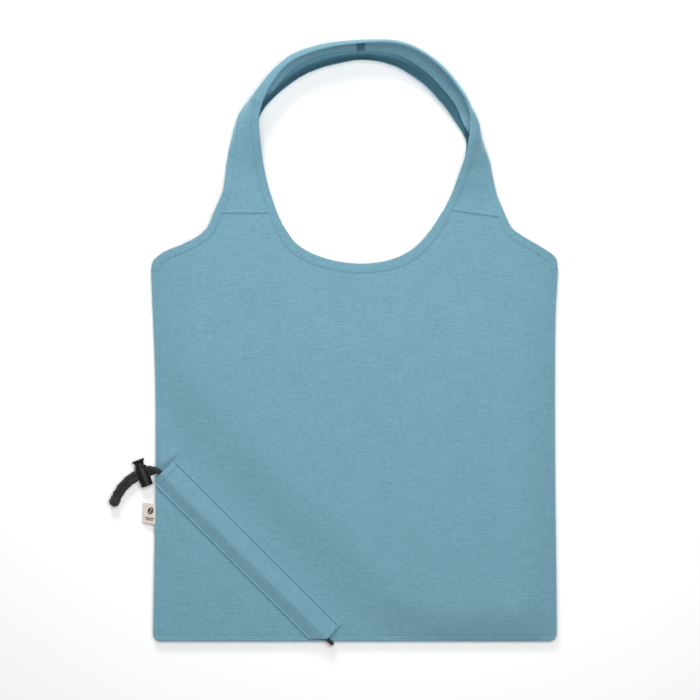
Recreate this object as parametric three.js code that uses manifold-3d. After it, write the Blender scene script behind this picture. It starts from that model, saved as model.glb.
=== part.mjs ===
// A foldable cotton tote bag lying on its back: two sewn panels, a looped handle on each,
// bias binding round every raw edge, and a drawcord across one corner, in two casings,
// with a spring cord lock. The bag is stuffed into that corner and the cord is drawn tight.
// Millimetres, +X to the wearer's left side seam, +Y towards the handles, +Z out of the front.
import * as THREE from "three";
import { mergeVertices } from "three/addons/utils/BufferGeometryUtils.js";
import Module from "manifold-3d";

const wasm = await Module();
wasm.setup();

// ---- Driving dimensions ------------------------------------------------------------------
const SIDE_TOP = 352; // where the side seams end and the armholes start
const FOLD_Y = 406; // shoulder seams, and the line that the handles fold along
const FABRIC = 0.5;
const TAPE = 0.4; // binding, casings and label
const GAP = 0.3; // between touching pieces
const SEAM_Z = 5.4; // underside of the back panel at the seams
const BODY_RISE = 9.2; // how far the front stands above its seams when the bag lies empty
const MOUTH_DROP = 3.6; // the front is this much lower at the mouth
const EDGE_ROLL = 40; // width of the curved border along the seams
const CORNER_FLAT = 146; // the drawcord corner is flat up to this distance from its tip
const CORNER_BLEND = 60;
const BINDING = 8; // visible width of the binding
const CASING_AT = 118; // the cord's line through the casings, measured square from the corner's tip
const CASING_LOW = -13.2; // the casing's two long edges, measured from that line
const CASING_HIGH = 18.1;
const CASING_FROM = -107.3; // the casing's two ends along that line
const CASING_TO = 115;
const CORD = 4.2;
const PULL = 50; // how far the drawcord's free end can be drawn out
const LOCK_RADIUS = 5.65;
const BUTTON_RADIUS = 6.05;
const BUTTON_TRAVEL = 3;

const FRONT_SEAM_Z = SEAM_Z + 2 * FABRIC + GAP; // top of the front panel at the seams
const FRONT_CORD_Z = FRONT_SEAM_Z + GAP + CORD / 2;
const BACK_CORD_Z = SEAM_Z - GAP - CORD / 2;
const LOCK_Z = BUTTON_RADIUS + 0.1;

// ---- Small helpers -----------------------------------------------------------------------
const DEG = Math.PI / 180;
const SECTION_STEPS = 24;
const clamp01 = (t) => Math.min(1, Math.max(0, t));
const smooth = (t) => clamp01(t) ** 2 * (3 - 2 * clamp01(t));
const mix = (a, b, t) => a + (b - a) * t;

// A smooth curve through [x, y] points, given as the value y at x.
function through(points) {
  return (x) => {
    const last = points.length - 1;
    let i = points.findIndex((p) => p[0] > x) - 1;
    if (i === -2) i = last - 1;
    i = Math.max(0, Math.min(last - 1, i));
    const slope = (k) => {
      const a = points[Math.max(0, k - 1)];
      const b = points[Math.min(last, k + 1)];
      return (b[1] - a[1]) / (b[0] - a[0]);
    };
    const [[x0, y0], [x1, y1]] = [points[i], points[i + 1]];
    const t = clamp01((x - x0) / (x1 - x0));
    const h = x1 - x0;
    return (
      y0 * (1 + 2 * t) * (1 - t) ** 2 + y1 * t * t * (3 - 2 * t) +
      slope(i) * h * t * (1 - t) ** 2 - slope(i + 1) * h * t * t * (1 - t)
    );
  };
}

function material(color, roughness) {
  return new THREE.MeshStandardMaterial({ color, roughness, metalness: 0 });
}
const cotton = material(0x79a9bb, 0.95);
const cottonTape = material(0x7aa6b8, 0.95);
const labelCloth = material(0xcfc8be, 0.9);
const blackCord = material(0x1d1f21, 0.9);
const blackPlastic = material(0x202325, 0.5);
const springSteel = new THREE.MeshStandardMaterial({ color: 0xb8bcc0, roughness: 0.3, metalness: 1 });

const bag = new THREE.Group();
function add(name, geometry, finish, parent = bag) {
  const mesh = new THREE.Mesh(geometry, finish);
  mesh.name = name;
  parent.add(mesh);
  return mesh;
}

// A thin closed sheet: a grid of across x along cells, each corner put where place(u, v, side)
// says. side is -1 on one face and +1 on the other, and the cells of both faces are cut along
// the same diagonal, so sheets laid over each other stay apart.
function sheet(across, along, place) {
  const spots = [];
  for (const side of [-1, 1]) {
    for (let j = 0; j <= along; j++) {
      for (let i = 0; i <= across; i++) spots.push(place(i / across, j / along, side));
    }
  }
  const at = (i, j, top) => (top * (along + 1) + j) * (across + 1) + i;
  const corners = [];
  const quad = (a, b, c, d) => corners.push(a, b, c, a, c, d);
  for (let j = 0; j < along; j++) {
    for (let i = 0; i < across; i++) {
      quad(at(i, j, 1), at(i + 1, j, 1), at(i + 1, j + 1, 1), at(i, j + 1, 1));
      quad(at(i, j, 0), at(i, j + 1, 0), at(i + 1, j + 1, 0), at(i + 1, j, 0));
    }
    quad(at(0, j + 1, 0), at(0, j, 0), at(0, j, 1), at(0, j + 1, 1));
    quad(at(across, j, 0), at(across, j + 1, 0), at(across, j + 1, 1), at(across, j, 1));
  }
  for (let i = 0; i < across; i++) {
    quad(at(i, 0, 0), at(i + 1, 0, 0), at(i + 1, 0, 1), at(i, 0, 1));
    quad(at(i + 1, along, 0), at(i, along, 0), at(i, along, 1), at(i + 1, along, 1));
  }
  const geometry = new THREE.BufferGeometry().setFromPoints(spots);
  geometry.setIndex(corners);
  geometry.computeVertexNormals();
  return geometry;
}

// ---- manifold-3d joins and cuts ----------------------------------------------------------
function solid(geometry) {
  const bare = geometry.clone();
  for (const name of Object.keys(bare.attributes)) {
    if (name !== "position") bare.deleteAttribute(name);
  }
  const merged = mergeVertices(bare, 1e-4);
  return new wasm.Manifold(new wasm.Mesh({
    numProp: 3,
    vertProperties: new Float32Array(merged.getAttribute("position").array),
    triVerts: new Uint32Array(merged.index.array),
  }));
}
function geometryOf(manifold) {
  const mesh = manifold.getMesh();
  const geometry = new THREE.BufferGeometry();
  geometry.setAttribute("position", new THREE.BufferAttribute(new Float32Array(mesh.vertProperties), 3));
  geometry.setIndex(new THREE.BufferAttribute(new Uint32Array(mesh.triVerts), 1));
  geometry.computeVertexNormals();
  return geometry;
}

// ---- Outline of a panel ------------------------------------------------------------------
// Side seams: x at a height. They bow in a little between the corner and the armhole.
const leftSide = through([[0, -191.5], [60, -190.5], [160, -189], [250, -189.5], [SIDE_TOP, -193.5]]);
const rightSide = through([[0, 190.5], [60, 190], [160, 188.8], [300, 189], [SIDE_TOP, 191.5]]);

// The top edge from side seam to side seam: armhole, shoulder, neckline, shoulder, armhole.
// Shoulder seams run from the neckline out to the armhole. The right one slopes.
const INNER_LEFT = -74.4;
const OUTER_LEFT = -134;
const INNER_RIGHT = 84.5;
const INNER_RIGHT_Y = 409.6;
const OUTER_RIGHT = 142.4;
const OUTER_RIGHT_Y = 401.3;
const RIGHT_SEAM_HEADING = -8.2; // degrees
const topStretches = [
  [[leftSide(SIDE_TOP), SIDE_TOP], [-191.5, 360], [-181, 368.5], [-162.5, 376.2], [-148, 384],
    [-139.5, 392.5], [OUTER_LEFT, FOLD_Y]],
  [[OUTER_LEFT, FOLD_Y], [INNER_LEFT, FOLD_Y]],
  [[INNER_LEFT, FOLD_Y], [-67, 391], [-56, 376.5], [-40, 366.5], [-17, 359.5], [9, 357.3],
    [35, 361.5], [54, 371], [70, 387.5], [INNER_RIGHT, INNER_RIGHT_Y]],
  [[INNER_RIGHT, INNER_RIGHT_Y], [OUTER_RIGHT, OUTER_RIGHT_Y]],
  [[OUTER_RIGHT, OUTER_RIGHT_Y], [148, 391], [159, 382.8], [176, 373], [190, 362.5],
    [rightSide(SIDE_TOP), SIDE_TOP]],
].map((points) => points.map(([x, y]) => new THREE.Vector3(x, y)))
  .map((points) => new THREE.CatmullRomCurve3(points, false, "centripetal"));
const [ARMHOLE_LEFT, , NECK, , ARMHOLE_RIGHT] = topStretches;

// Distance in from the side and bottom seams, as 0 at a seam and 1 past the curved border.
function border(distance) {
  return 1 - (1 - clamp01(distance / EDGE_ROLL)) ** 2;
}
function cornerBlend(x, y) {
  const fromTip = (x - leftSide(0) + y) / Math.SQRT2;
  return smooth((fromTip - CORNER_FLAT) / CORNER_BLEND);
}
function puff(x, y) {
  const side = Math.min(y, SIDE_TOP);
  return (
    border(x - leftSide(side)) * border(rightSide(side) - x) * border(y) * cornerBlend(x, y)
  );
}
const mouth = (y) => smooth((y - 250) / 120);
const frontTop = (x, y) => FRONT_SEAM_Z + puff(x, y) * (BODY_RISE - MOUTH_DROP * mouth(y));
const backUnder = (x, y) => SEAM_Z * (1 - puff(x, y));

// ---- Panels ------------------------------------------------------------------------------
const CORNER_RADIUS = 7;
const COLUMNS = [7, 4, 14, 4, 7]; // cells along each stretch of the top edge
const ROW_SHARES = [
  0, 0.025, 0.06, 0.11, 0.17, 0.23, 0.29, 0.35, 0.41, 0.48, 0.56, 0.65, 0.75, 0.85, 0.94, 1,
];

function topPoint(column) {
  let left = column;
  for (let k = 0; k < topStretches.length; k++) {
    if (left <= COLUMNS[k]) return topStretches[k].getPoint(left / COLUMNS[k]);
    left -= COLUMNS[k];
  }
  return topStretches.at(-1).getPoint(1);
}
function panelPlace(column, share) {
  const top = topPoint(column);
  const along = (top.x - leftSide(SIDE_TOP)) / (rightSide(SIDE_TOP) - leftSide(SIDE_TOP));
  const fromSide = Math.min(top.x - leftSide(SIDE_TOP), rightSide(SIDE_TOP) - top.x);
  const inCorner = CORNER_RADIUS * (1 - clamp01(fromSide / CORNER_RADIUS));
  const low = CORNER_RADIUS - Math.sqrt(CORNER_RADIUS ** 2 - inCorner ** 2);
  const y = mix(low, top.y - GAP / 2, share);
  const side = Math.min(y, SIDE_TOP);
  return [mix(leftSide(side), rightSide(side), along), y];
}
function panel(surface) {
  const columns = COLUMNS.reduce((a, b) => a + b);
  const rows = ROW_SHARES.length - 1;
  return sheet(columns, rows, (u, v, side) => {
    const [x, y] = panelPlace(Math.round(u * columns), ROW_SHARES[Math.round(v * rows)]);
    return new THREE.Vector3(x, y, surface(x, y, side));
  });
}
add("front_panel", panel((x, y, side) => frontTop(x, y) - (side < 0 ? FABRIC : 0)), cotton);
add("back_panel", panel((x, y, side) => backUnder(x, y) + (side > 0 ? FABRIC : 0)), cotton);

// ---- Binding along the neckline and the armholes ----------------------------------------
function edgeBinding(curve, from, to, cells, onFront) {
  return sheet(cells, 1, (u, v, side) => {
    const t = mix(from, to, u);
    const edge = curve.getPoint(t);
    const along = curve.getTangent(t);
    // The curves run from -X to +X with the bag on their right, so inward is (t.y, -t.x).
    const reach = mix(BINDING, 0.4, v);
    const x = edge.x + along.y * reach;
    const y = edge.y - along.x * reach;
    const near = onFront ? frontTop(x, y) + GAP + 0.15 : backUnder(x, y) + FABRIC + GAP + 0.15;
    return new THREE.Vector3(x, y, near + (side > 0 ? TAPE : 0));
  });
}
for (const [face, onFront] of [["front", true], ["back", false]]) {
  add(`neck_binding_${face}`, edgeBinding(NECK, 0.035, 0.965, 20, onFront), cottonTape);
  add(`armhole_binding_left_${face}`, edgeBinding(ARMHOLE_LEFT, 0.22, 0.94, 10, onFront), cottonTape);
  add(`armhole_binding_right_${face}`, edgeBinding(ARMHOLE_RIGHT, 0.06, 0.8, 10, onFront), cottonTape);
}

// ---- Handles -----------------------------------------------------------------------------
// A handle is a flat tapered strap that stands on its edge round the top of the loop. Each row
// is one place along it: the inner edge x, y, z, the way its width points in plan (degrees),
// the strap's width, and the slope its cross-section starts at and turns by, in degrees.
const frontRows = [
  [INNER_LEFT, FOLD_Y, 11.75, 180, 59.4, 0, 0],
  [-81.5, 427, 11.9, 180, 43.5, 0, 0],
  [-86, 445, 14, 180, 36.8, 0, -14],
  [-89.6, 473, 24, 178, 32, -3, -50],
  [-90.3, 497, 31, 172, 30, -5, -86],
  [-80.5, 522.5, 35.5, 146, 32, -19, -154],
  [-61, 545.3, 36.5, 120, 31, -38.5, -120],
  [-33.7, 556.8, 36.5, 104, 30, -44, -104],
  [5, 563, 36.5, 90, 29, -62, -74],
  [42.7, 562, 36.5, 73, 30, -63.5, -85.5],
  [71, 548, 36.5, 50, 31, -63, -96],
  [93.1, 524.8, 36.5, 33, 31, -60.5, -99.5],
  [105.3, 504.8, 36, 20, 30, -61, -95],
  [107.8, 487, 33, 13, 30, -3.5, -197],
  [106.7, 474.1, 31, 8.5, 30, 4, -158],
  [104, 461, 26.5, 4, 30, -10, -70],
  [96.5, 438, 18, 1, 34.5, 0, -32],
  [91, 423, 13, -2, 43, 0, -10],
  [INNER_RIGHT, INNER_RIGHT_Y, 11.75, RIGHT_SEAM_HEADING, 58.5, 0, 0],
];
const FLOOR_Z = 1.25;
const backRows = [
  [INNER_LEFT - 1, FOLD_Y, FLOOR_Z, 180, 57.6, 0, 0],
  [-84, 427, FLOOR_Z, 180, 41, 0, 0],
  [-89, 445, FLOOR_Z, 180, 30, 0, 0],
  [-92.5, 466, 2.7, 178, 22, -8, 20],
  [-93, 484, 7.4, 174, 22, -28, 40],
  [-89.2, 499.6, 11.4, 160, 20, -50, 60],
  [-75, 516.5, 14.4, 138, 21, -66, 78],
  [-48, 535.9, 15.4, 120, 22, -68, 80],
  [-20, 545.8, 15.4, 104, 22, -68, 80],
  [8, 549.8, 15.4, 90, 22, -68, 80],
  [35, 544.8, 15.4, 72, 22, -68, 80],
  [60, 530.4, 15.4, 52, 22, -68, 80],
  [80.8, 510, 15.1, 40, 22, -66, 78],
  [97.6, 487.2, 10, 28, 17, -50, 58],
  [104.8, 474.6, 4.5, 14, 17.8, -30, 130],
  [103.5, 457, 2, 3, 18.4, -8, 60],
  [98, 440, FLOOR_Z, 0, 29, 0, 0],
  [92, 423, FLOOR_Z, -2, 40.5, 0, 0],
  [INNER_RIGHT + 1, INNER_RIGHT_Y - 0.2, FLOOR_Z, RIGHT_SEAM_HEADING, 56.4, 0, 0],
];
// How much of the curl is left to the far edge of the strap: 1 spreads it evenly.
const FRONT_BUNCH = 1;
const BACK_BUNCH = 2.2;

function strapSurface(rows, bunch) {
  const pick = (a, b, c) => new THREE.CatmullRomCurve3(
    rows.map((r) => new THREE.Vector3(r[a], r[b], r[c])), false, "centripetal");
  const edge = pick(0, 1, 2);
  const shape = pick(3, 5, 6);
  const width = pick(4, 4, 4);
  // s runs over the rows, reach is a share of the width plus a distance, and lift is out of
  // the face.
  return (s, reach, lift) => {
    const t = s / (rows.length - 1);
    const from = edge.getPoint(t);
    const { x: heading, y: start, z: curl } = shape.getPoint(t);
    const wide = width.getPoint(t).x;
    const distance = reach.from * wide + reach.plus;
    const slopeAt = (d) => (start + curl * clamp01(d / wide) ** bunch) * DEG;
    let out = 0;
    let up = 0;
    for (let i = 0; i < SECTION_STEPS; i++) {
      const slope = slopeAt((distance * (i + 0.5)) / SECTION_STEPS);
      out += (Math.cos(slope) * distance) / SECTION_STEPS;
      up += (Math.sin(slope) * distance) / SECTION_STEPS;
    }
    const tilt = slopeAt(distance);
    const across = out - lift * Math.sin(tilt);
    return new THREE.Vector3(
      from.x + across * Math.cos(heading * DEG),
      from.y + across * Math.sin(heading * DEG),
      from.z + up + lift * Math.cos(tilt),
    );
  };
}

// A strip of a strap, from one row to another, through reaches from its inner edge. Each reach
// is a share of the strap's width plus a distance. The front's faces turn up and the back's
// turn down, so out is +1 or -1.
function strip(surface, fromRow, toRow, reaches, out, low, high) {
  // Pieces of one strap share their grid lines, at every half row.
  const halves = Array.from({ length: 2 * (Math.ceil(toRow) - Math.floor(fromRow)) + 1 }, (_, i) =>
    Math.floor(fromRow) + i / 2);
  const stations = [fromRow, ...halves.filter((s) => s > fromRow + 0.1 && s < toRow - 0.1), toRow];
  const along = stations.length - 1;
  const across = reaches.length - 1;
  return sheet(along, across, (u, v, side) => {
    const s = stations[Math.round(u * along)];
    const reach = reaches[Math.round(v * across)];
    return surface(s, reach, out > 0 ? (side > 0 ? high : low) : side > 0 ? -low : -high);
  });
}
const reachAt = (from, plus) => ({ from, plus });
const NEAR_EDGE = [0.2, 2.8, 5.4, BINDING];
const INNER_TAPE = NEAR_EDGE.map((d) => reachAt(0, d));
const OUTER_TAPE = NEAR_EDGE.toReversed().map((d) => reachAt(1, -d));
const WHOLE_STRAP = [reachAt(0, 0), ...INNER_TAPE.slice(1), ...OUTER_TAPE.slice(0, -1), reachAt(1, 0)];
const SEAM_SHARE = 0.012; // clears the strap ends from each other at the top seam
const ROOT_SHARE = 0.02; // and from the panels at the shoulder seams
for (const [face, rows, bunch, out] of [
  ["front", frontRows, FRONT_BUNCH, 1],
  ["back", backRows, BACK_BUNCH, -1],
]) {
  const surface = strapSurface(rows, bunch);
  const topRow = rows.findIndex((row) => row[3] === 90);
  const from = ROOT_SHARE;
  const to = rows.length - 1 - ROOT_SHARE;
  const low = FABRIC + GAP;
  const high = low + TAPE;
  add(`${face}_strap_left`, strip(surface, from, topRow - SEAM_SHARE, WHOLE_STRAP, out, 0, FABRIC), cotton);
  add(`${face}_strap_right`, strip(surface, topRow + SEAM_SHARE, to, WHOLE_STRAP, out, 0, FABRIC), cotton);
  add(`${face}_strap_inner_binding`, strip(surface, from, to, INNER_TAPE, out, low, high), cottonTape);
  add(`${face}_strap_outer_binding`, strip(surface, from, to, OUTER_TAPE, out, low, high), cottonTape);
}

// ---- Drawcord casings --------------------------------------------------------------------
// The casing frame: X along the cord's line to the bottom seam, Y away from the corner's tip.
const casings = new THREE.Group();
casings.position.set(leftSide(0) + CASING_AT / Math.SQRT2, CASING_AT / Math.SQRT2, 0);
casings.rotation.z = -45 * DEG;
bag.add(casings);
casings.updateMatrix();
const toCasing = casings.matrix.clone().invert();

const CASING_SIDES = 10;
const casingRise = CORD + GAP; // of the middle of the tunnel over its sewn edges
function casing(onFront) {
  const strip = sheet(CASING_SIDES, 6, (u, v, side) => {
    const w = mix(CASING_LOW, CASING_HIGH, u);
    const reach = w < 0 ? -CASING_LOW : CASING_HIGH;
    const arch = casingRise * Math.cos((w / reach) * Math.PI / 2) ** 2;
    const out = GAP + arch + (side > 0 ? TAPE : 0);
    const z = onFront ? FRONT_SEAM_Z + out : SEAM_Z - out;
    // The back casing is a mirror image, so it runs the other way to keep its faces out.
    return new THREE.Vector3(mix(CASING_FROM, CASING_TO, v), onFront ? -w : w, z);
  });
  // The casing's ends are cut off along the side seam and the bottom seam.
  const inside = new THREE.BoxGeometry(400, 400, 60);
  inside.translate(leftSide(150) + 200 + 1.5, 200 + 2, 0).applyMatrix4(toCasing);
  return geometryOf(solid(strip).intersect(solid(inside)));
}
add("front_casing", casing(true), cottonTape, casings);
add("back_casing", casing(false), cottonTape, casings);

// ---- Drawcord ----------------------------------------------------------------------------
// In the bag's plan both strands leave the casings along its centre line, bend round a small
// arc and then follow one wide arc, through the cord lock, to the knot. ARC_CENTRE is the
// middle of the wide arc, and the cord lock slides round it.
const WIDE_RADIUS = 45;
const STRAND_OFFSET = 2.3; // each strand from the line between them
const LOCK_ANGLE = 110.8; // places on the wide arc, in degrees round its centre
const KNOT_ANGLE = 158.3;
const LOCK_SPOT = new THREE.Vector2(-201.8, 159.2);
const arcCentre = new THREE.Vector2(
  LOCK_SPOT.x - WIDE_RADIUS * Math.cos(LOCK_ANGLE * DEG),
  LOCK_SPOT.y - WIDE_RADIUS * Math.sin(LOCK_ANGLE * DEG),
);
const ENTRY_ANGLE = LOCK_ANGLE - 7.8; // where the small arc meets the wide one
const entry = new THREE.Vector2(
  arcCentre.x + WIDE_RADIUS * Math.cos(ENTRY_ANGLE * DEG),
  arcCentre.y + WIDE_RADIUS * Math.sin(ENTRY_ANGLE * DEG),
);
// The small arc turns from the casing's direction (135 degrees) to the wide arc's at entry.
const SMALL_TURN = ENTRY_ANGLE + 90 - 135;
const towards = new THREE.Vector2(
  Math.cos((135 + SMALL_TURN / 2) * DEG), Math.sin((135 + SMALL_TURN / 2) * DEG),
);
const casingLine = CASING_AT * Math.SQRT2 + leftSide(0); // x + y on the centre line
const smallRadius =
  (entry.x + entry.y - casingLine) /
  ((towards.x + towards.y) * 2 * Math.sin((SMALL_TURN / 2) * DEG));
const start = entry.clone().addScaledVector(towards, -2 * smallRadius * Math.sin((SMALL_TURN / 2) * DEG));
const smallLength = smallRadius * SMALL_TURN * DEG;
const HIDDEN = PULL + 6; // straight stretch inside the casing that the pull draws out
const KNOT_RADIUS = 6.4;
const knotTurn = KNOT_ANGLE - ENTRY_ANGLE;
const wideLength = WIDE_RADIUS * knotTurn * DEG - KNOT_RADIUS + 0.6;

// The middle line at a distance from start: place and left-hand normal in plan.
function middleLine(d) {
  if (d <= 0) {
    return [new THREE.Vector2(start.x - d * Math.SQRT1_2, start.y + d * Math.SQRT1_2), 225];
  }
  if (d <= smallLength) {
    const turned = d / smallRadius / DEG;
    const centre = start.clone().add(
      new THREE.Vector2(Math.cos(225 * DEG), Math.sin(225 * DEG)).multiplyScalar(smallRadius));
    const angle = (45 + turned) * DEG;
    const spot = new THREE.Vector2(Math.cos(angle), Math.sin(angle)).multiplyScalar(smallRadius).add(centre);
    return [spot, 225 + turned];
  }
  const angle = ENTRY_ANGLE + (d - smallLength) / WIDE_RADIUS / DEG;
  return [new THREE.Vector2(
    arcCentre.x + WIDE_RADIUS * Math.cos(angle * DEG), arcCentre.y + WIDE_RADIUS * Math.sin(angle * DEG)),
  angle + 180];
}
// The strands lie one over the other in the casings, and side by side from the lock on.
function strandPoint(d, onFront) {
  const [spot, normal] = middleLine(d);
  const apart = smooth((d - 2) / (smallLength - 2)) * STRAND_OFFSET * (onFront ? -1 : 1);
  const rest = onFront ? FRONT_CORD_Z : BACK_CORD_Z;
  const z = mix(rest, LOCK_Z, smooth((d - 10.5) / 15));
  return new THREE.Vector3(
    spot.x + apart * Math.cos(normal * DEG), spot.y + apart * Math.sin(normal * DEG), z);
}

// A tube through points, with one ring of corners at each point.
class Polyline extends THREE.Curve {
  constructor(points) {
    super();
    this.points = points;
  }
  getPoint(t) {
    const at = clamp01(t) * (this.points.length - 1);
    const i = Math.min(Math.floor(at), this.points.length - 2);
    return this.points[i].clone().lerp(this.points[i + 1], at - i);
  }
  getUtoTmapping(u) {
    return u; // the steps stay at the points
  }
}
function tube(points, diameter, sides) {
  const section = new THREE.Shape();
  for (let i = 0; i < sides; i++) {
    const angle = ((i + 0.5) / sides) * 2 * Math.PI;
    const [x, y] = [(Math.cos(angle) * diameter) / 2, (Math.sin(angle) * diameter) / 2];
    if (i === 0) section.moveTo(x, y);
    else section.lineTo(x, y);
  }
  section.closePath();
  const settings = { steps: points.length - 1, bevelEnabled: false, extrudePath: new Polyline(points) };
  return new THREE.ExtrudeGeometry(section, settings);
}
// Numbers from one value to another, both ends included.
const spread = (from, to, steps) => Array.from({ length: steps + 1 }, (_, i) => mix(from, to, i / steps));

for (const [face, onFront] of [["front", true], ["back", false]]) {
  const stations = [-HIDDEN, ...spread(0, smallLength + wideLength, 26)];
  const points = stations.map((d) => strandPoint(d, onFront));
  add(`drawcord_strand_${face}`, tube(points, CORD, 8), blackCord);
}

// The rest of the cord stays in the casings and turns round the bottom seam from one to the other.
const turnRadius = (FRONT_CORD_Z - BACK_CORD_Z) / 2;
const turnAt = CASING_AT + 0.3; // along the casings, clear of the bottom seam's edge
const hiddenEnd = new THREE.Vector3(start.x, start.y, 0).applyMatrix4(toCasing).x + HIDDEN + GAP;
const loopMiddle = (FRONT_CORD_Z + BACK_CORD_Z) / 2;
const loopPoints = [
  new THREE.Vector3(hiddenEnd, 0, FRONT_CORD_Z),
  ...spread(0, Math.PI, 10).map((angle) => new THREE.Vector3(
    turnAt + turnRadius * Math.sin(angle), 0, loopMiddle + turnRadius * Math.cos(angle))),
  new THREE.Vector3(hiddenEnd, 0, BACK_CORD_Z),
];
add("drawcord_loop", tube(loopPoints, CORD, 8), blackCord, casings);

// The knot that keeps the lock on.
const knot = new THREE.SphereGeometry(KNOT_RADIUS, 14, 9);
const knotSpot = middleLine(smallLength + WIDE_RADIUS * knotTurn * DEG + 0.9)[0];
add("drawcord_knot", knot, blackCord).position.set(knotSpot.x, knotSpot.y, KNOT_RADIUS + 0.1);

// ---- Cord lock ---------------------------------------------------------------------------
// Its own frame: Y along the barrel towards the button, X along the cord, Z up; the origin is
// the middle of the cord hole.
const lock = new THREE.Group();
lock.position.set(LOCK_SPOT.x, LOCK_SPOT.y, LOCK_Z);
lock.rotation.z = (LOCK_ANGLE - 90) * DEG;
bag.add(lock);

const RIM = 6.6; // barrel's open end, above the hole's middle
const BARREL_END = -13.2;
const BORE = 4.75;
const BORE_FLOOR = -12;
const HOLE_HALF = CORD / 2 + STRAND_OFFSET + 0.8; // along the barrel
const HOLE_TALL = 8;
const STEM = 4.4;
const TURNS = 24;

function lathe(profile) {
  return new THREE.LatheGeometry(profile.map(([r, y]) => new THREE.Vector2(r, y)), TURNS);
}
function crossHole(low, high, tall) {
  const hole = new THREE.BoxGeometry(30, high - low, tall);
  return hole.translate(0, (low + high) / 2, 0);
}
const barrel = lathe([
  [0, BARREL_END], [LOCK_RADIUS - 0.6, BARREL_END], [LOCK_RADIUS, BARREL_END + 0.6], [LOCK_RADIUS, RIM - 0.5],
  [LOCK_RADIUS - 0.5, RIM], [BORE, RIM], [BORE, BORE_FLOOR], [0, BORE_FLOOR],
]);
add("cord_lock_barrel",
  geometryOf(solid(barrel).subtract(solid(crossHole(-HOLE_HALF, HOLE_HALF, HOLE_TALL)))), blackPlastic, lock);

const STEM_END = -HOLE_HALF - 1.2;
const FLANGE = RIM + BUTTON_TRAVEL + 1.4;
const plunger = lathe([
  [0, STEM_END], [STEM, STEM_END], [STEM, FLANGE - 1.2], [5.2, FLANGE], [BUTTON_RADIUS, FLANGE + 0.4],
  [BUTTON_RADIUS, FLANGE + 1.5], [5.6, FLANGE + 2], [0, FLANGE + 2],
]);
const plungerSlot = crossHole(-HOLE_HALF, HOLE_HALF + BUTTON_TRAVEL, HOLE_TALL);
add("cord_lock_button", geometryOf(solid(plunger).subtract(solid(plungerSlot))), blackPlastic, lock);

const SPRING_WIRE = 0.6;
const SPRING_RADIUS = 3.4;
const SPRING_COILS = 3.5;
const springLow = BORE_FLOOR + GAP + SPRING_WIRE / 2;
const springHigh = STEM_END - GAP - SPRING_WIRE / 2;
const helix = spread(0, 1, 42).map((t) => {
  const angle = t * SPRING_COILS * 2 * Math.PI;
  return new THREE.Vector3(
    SPRING_RADIUS * Math.cos(angle), mix(springLow, springHigh, t), SPRING_RADIUS * Math.sin(angle));
});
add("cord_lock_spring", tube(helix, SPRING_WIRE, 6), springSteel, lock);

// ---- Side label --------------------------------------------------------------------------
// A folded tab caught in the side seam. It slopes from the seam down to the table.
const LABEL_OUT = 12.4;
const LABEL_TALL = 19.4;
const LABEL_THICK = 0.9;
const LABEL_Y = 119.8;
const LABEL_DROP = 3.4;
const seamMiddle = SEAM_Z + FABRIC + GAP / 2;
add("side_label", sheet(4, 2, (u, v, side) => {
  const droop = smooth(u) * LABEL_DROP;
  const x = leftSide(LABEL_Y) - GAP - 0.2 - u * LABEL_OUT;
  const y = LABEL_Y + (0.5 - v) * LABEL_TALL + u * 0.6;
  return new THREE.Vector3(x, y, seamMiddle - droop + (side * LABEL_THICK) / 2);
}), labelCloth);

// ---- Frame -------------------------------------------------------------------------------
// The origin is under the middle of everything but the free cord and what is threaded on it.
const onCord = ["drawcord_strand_front", "drawcord_strand_back", "drawcord_knot", "cord_lock_barrel",
  "cord_lock_button", "cord_lock_spring"];
bag.updateMatrixWorld(true);
const extent = new THREE.Box3();
bag.traverse((o) => {
  if (o.isMesh && !onCord.includes(o.name)) extent.expandByObject(o, true);
});
bag.position.set(-(extent.min.x + extent.max.x) / 2, -(extent.min.y + extent.max.y) / 2, -extent.min.z);

export default bag;
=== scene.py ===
"""The look of a foldable cotton tote bag, lying flat on a pale floor and seen from straight above."""

import math

import bpy
import numpy as np
from mathutils import Matrix, Vector, noise


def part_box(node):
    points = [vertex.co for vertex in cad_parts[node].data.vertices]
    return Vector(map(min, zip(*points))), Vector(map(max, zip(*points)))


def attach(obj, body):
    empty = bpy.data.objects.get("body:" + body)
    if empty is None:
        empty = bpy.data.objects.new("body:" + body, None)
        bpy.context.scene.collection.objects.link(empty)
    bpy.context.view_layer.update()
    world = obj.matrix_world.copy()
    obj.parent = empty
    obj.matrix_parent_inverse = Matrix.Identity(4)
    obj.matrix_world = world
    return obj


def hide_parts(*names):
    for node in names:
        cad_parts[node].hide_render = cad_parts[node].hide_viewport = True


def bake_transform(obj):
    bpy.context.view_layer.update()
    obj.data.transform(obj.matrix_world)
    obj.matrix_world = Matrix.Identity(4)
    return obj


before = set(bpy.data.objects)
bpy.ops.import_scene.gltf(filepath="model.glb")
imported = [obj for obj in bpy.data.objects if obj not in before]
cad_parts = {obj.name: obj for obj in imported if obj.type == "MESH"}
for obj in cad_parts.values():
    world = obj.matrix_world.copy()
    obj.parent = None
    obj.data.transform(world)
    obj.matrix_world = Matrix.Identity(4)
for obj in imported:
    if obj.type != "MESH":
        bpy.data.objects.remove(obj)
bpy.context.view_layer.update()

# ---- Dimensions, in millimetres in the bag's own axes: Y = 0 is the bottom seam ----
SIDE_TOP = 352.0
FOLD_Y = 406.0
FABRIC = 0.5
TAPE = 0.4
GAP = 0.3
SEAM_Z = 5.4
BODY_RISE = 9.2
MOUTH_DROP = 3.6
EDGE_ROLL = 40.0
CORNER_FLAT = 146.0
CORNER_BLEND = 60.0
CORNER_RADIUS = 7.0
CASING_AT = 118.0
CASING_LOW = -13.2
CASING_HIGH = 18.1
CASING_FROM = -107.3
CASING_TO = 115.0
CORD = 4.2
PULL = 50.0
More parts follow.
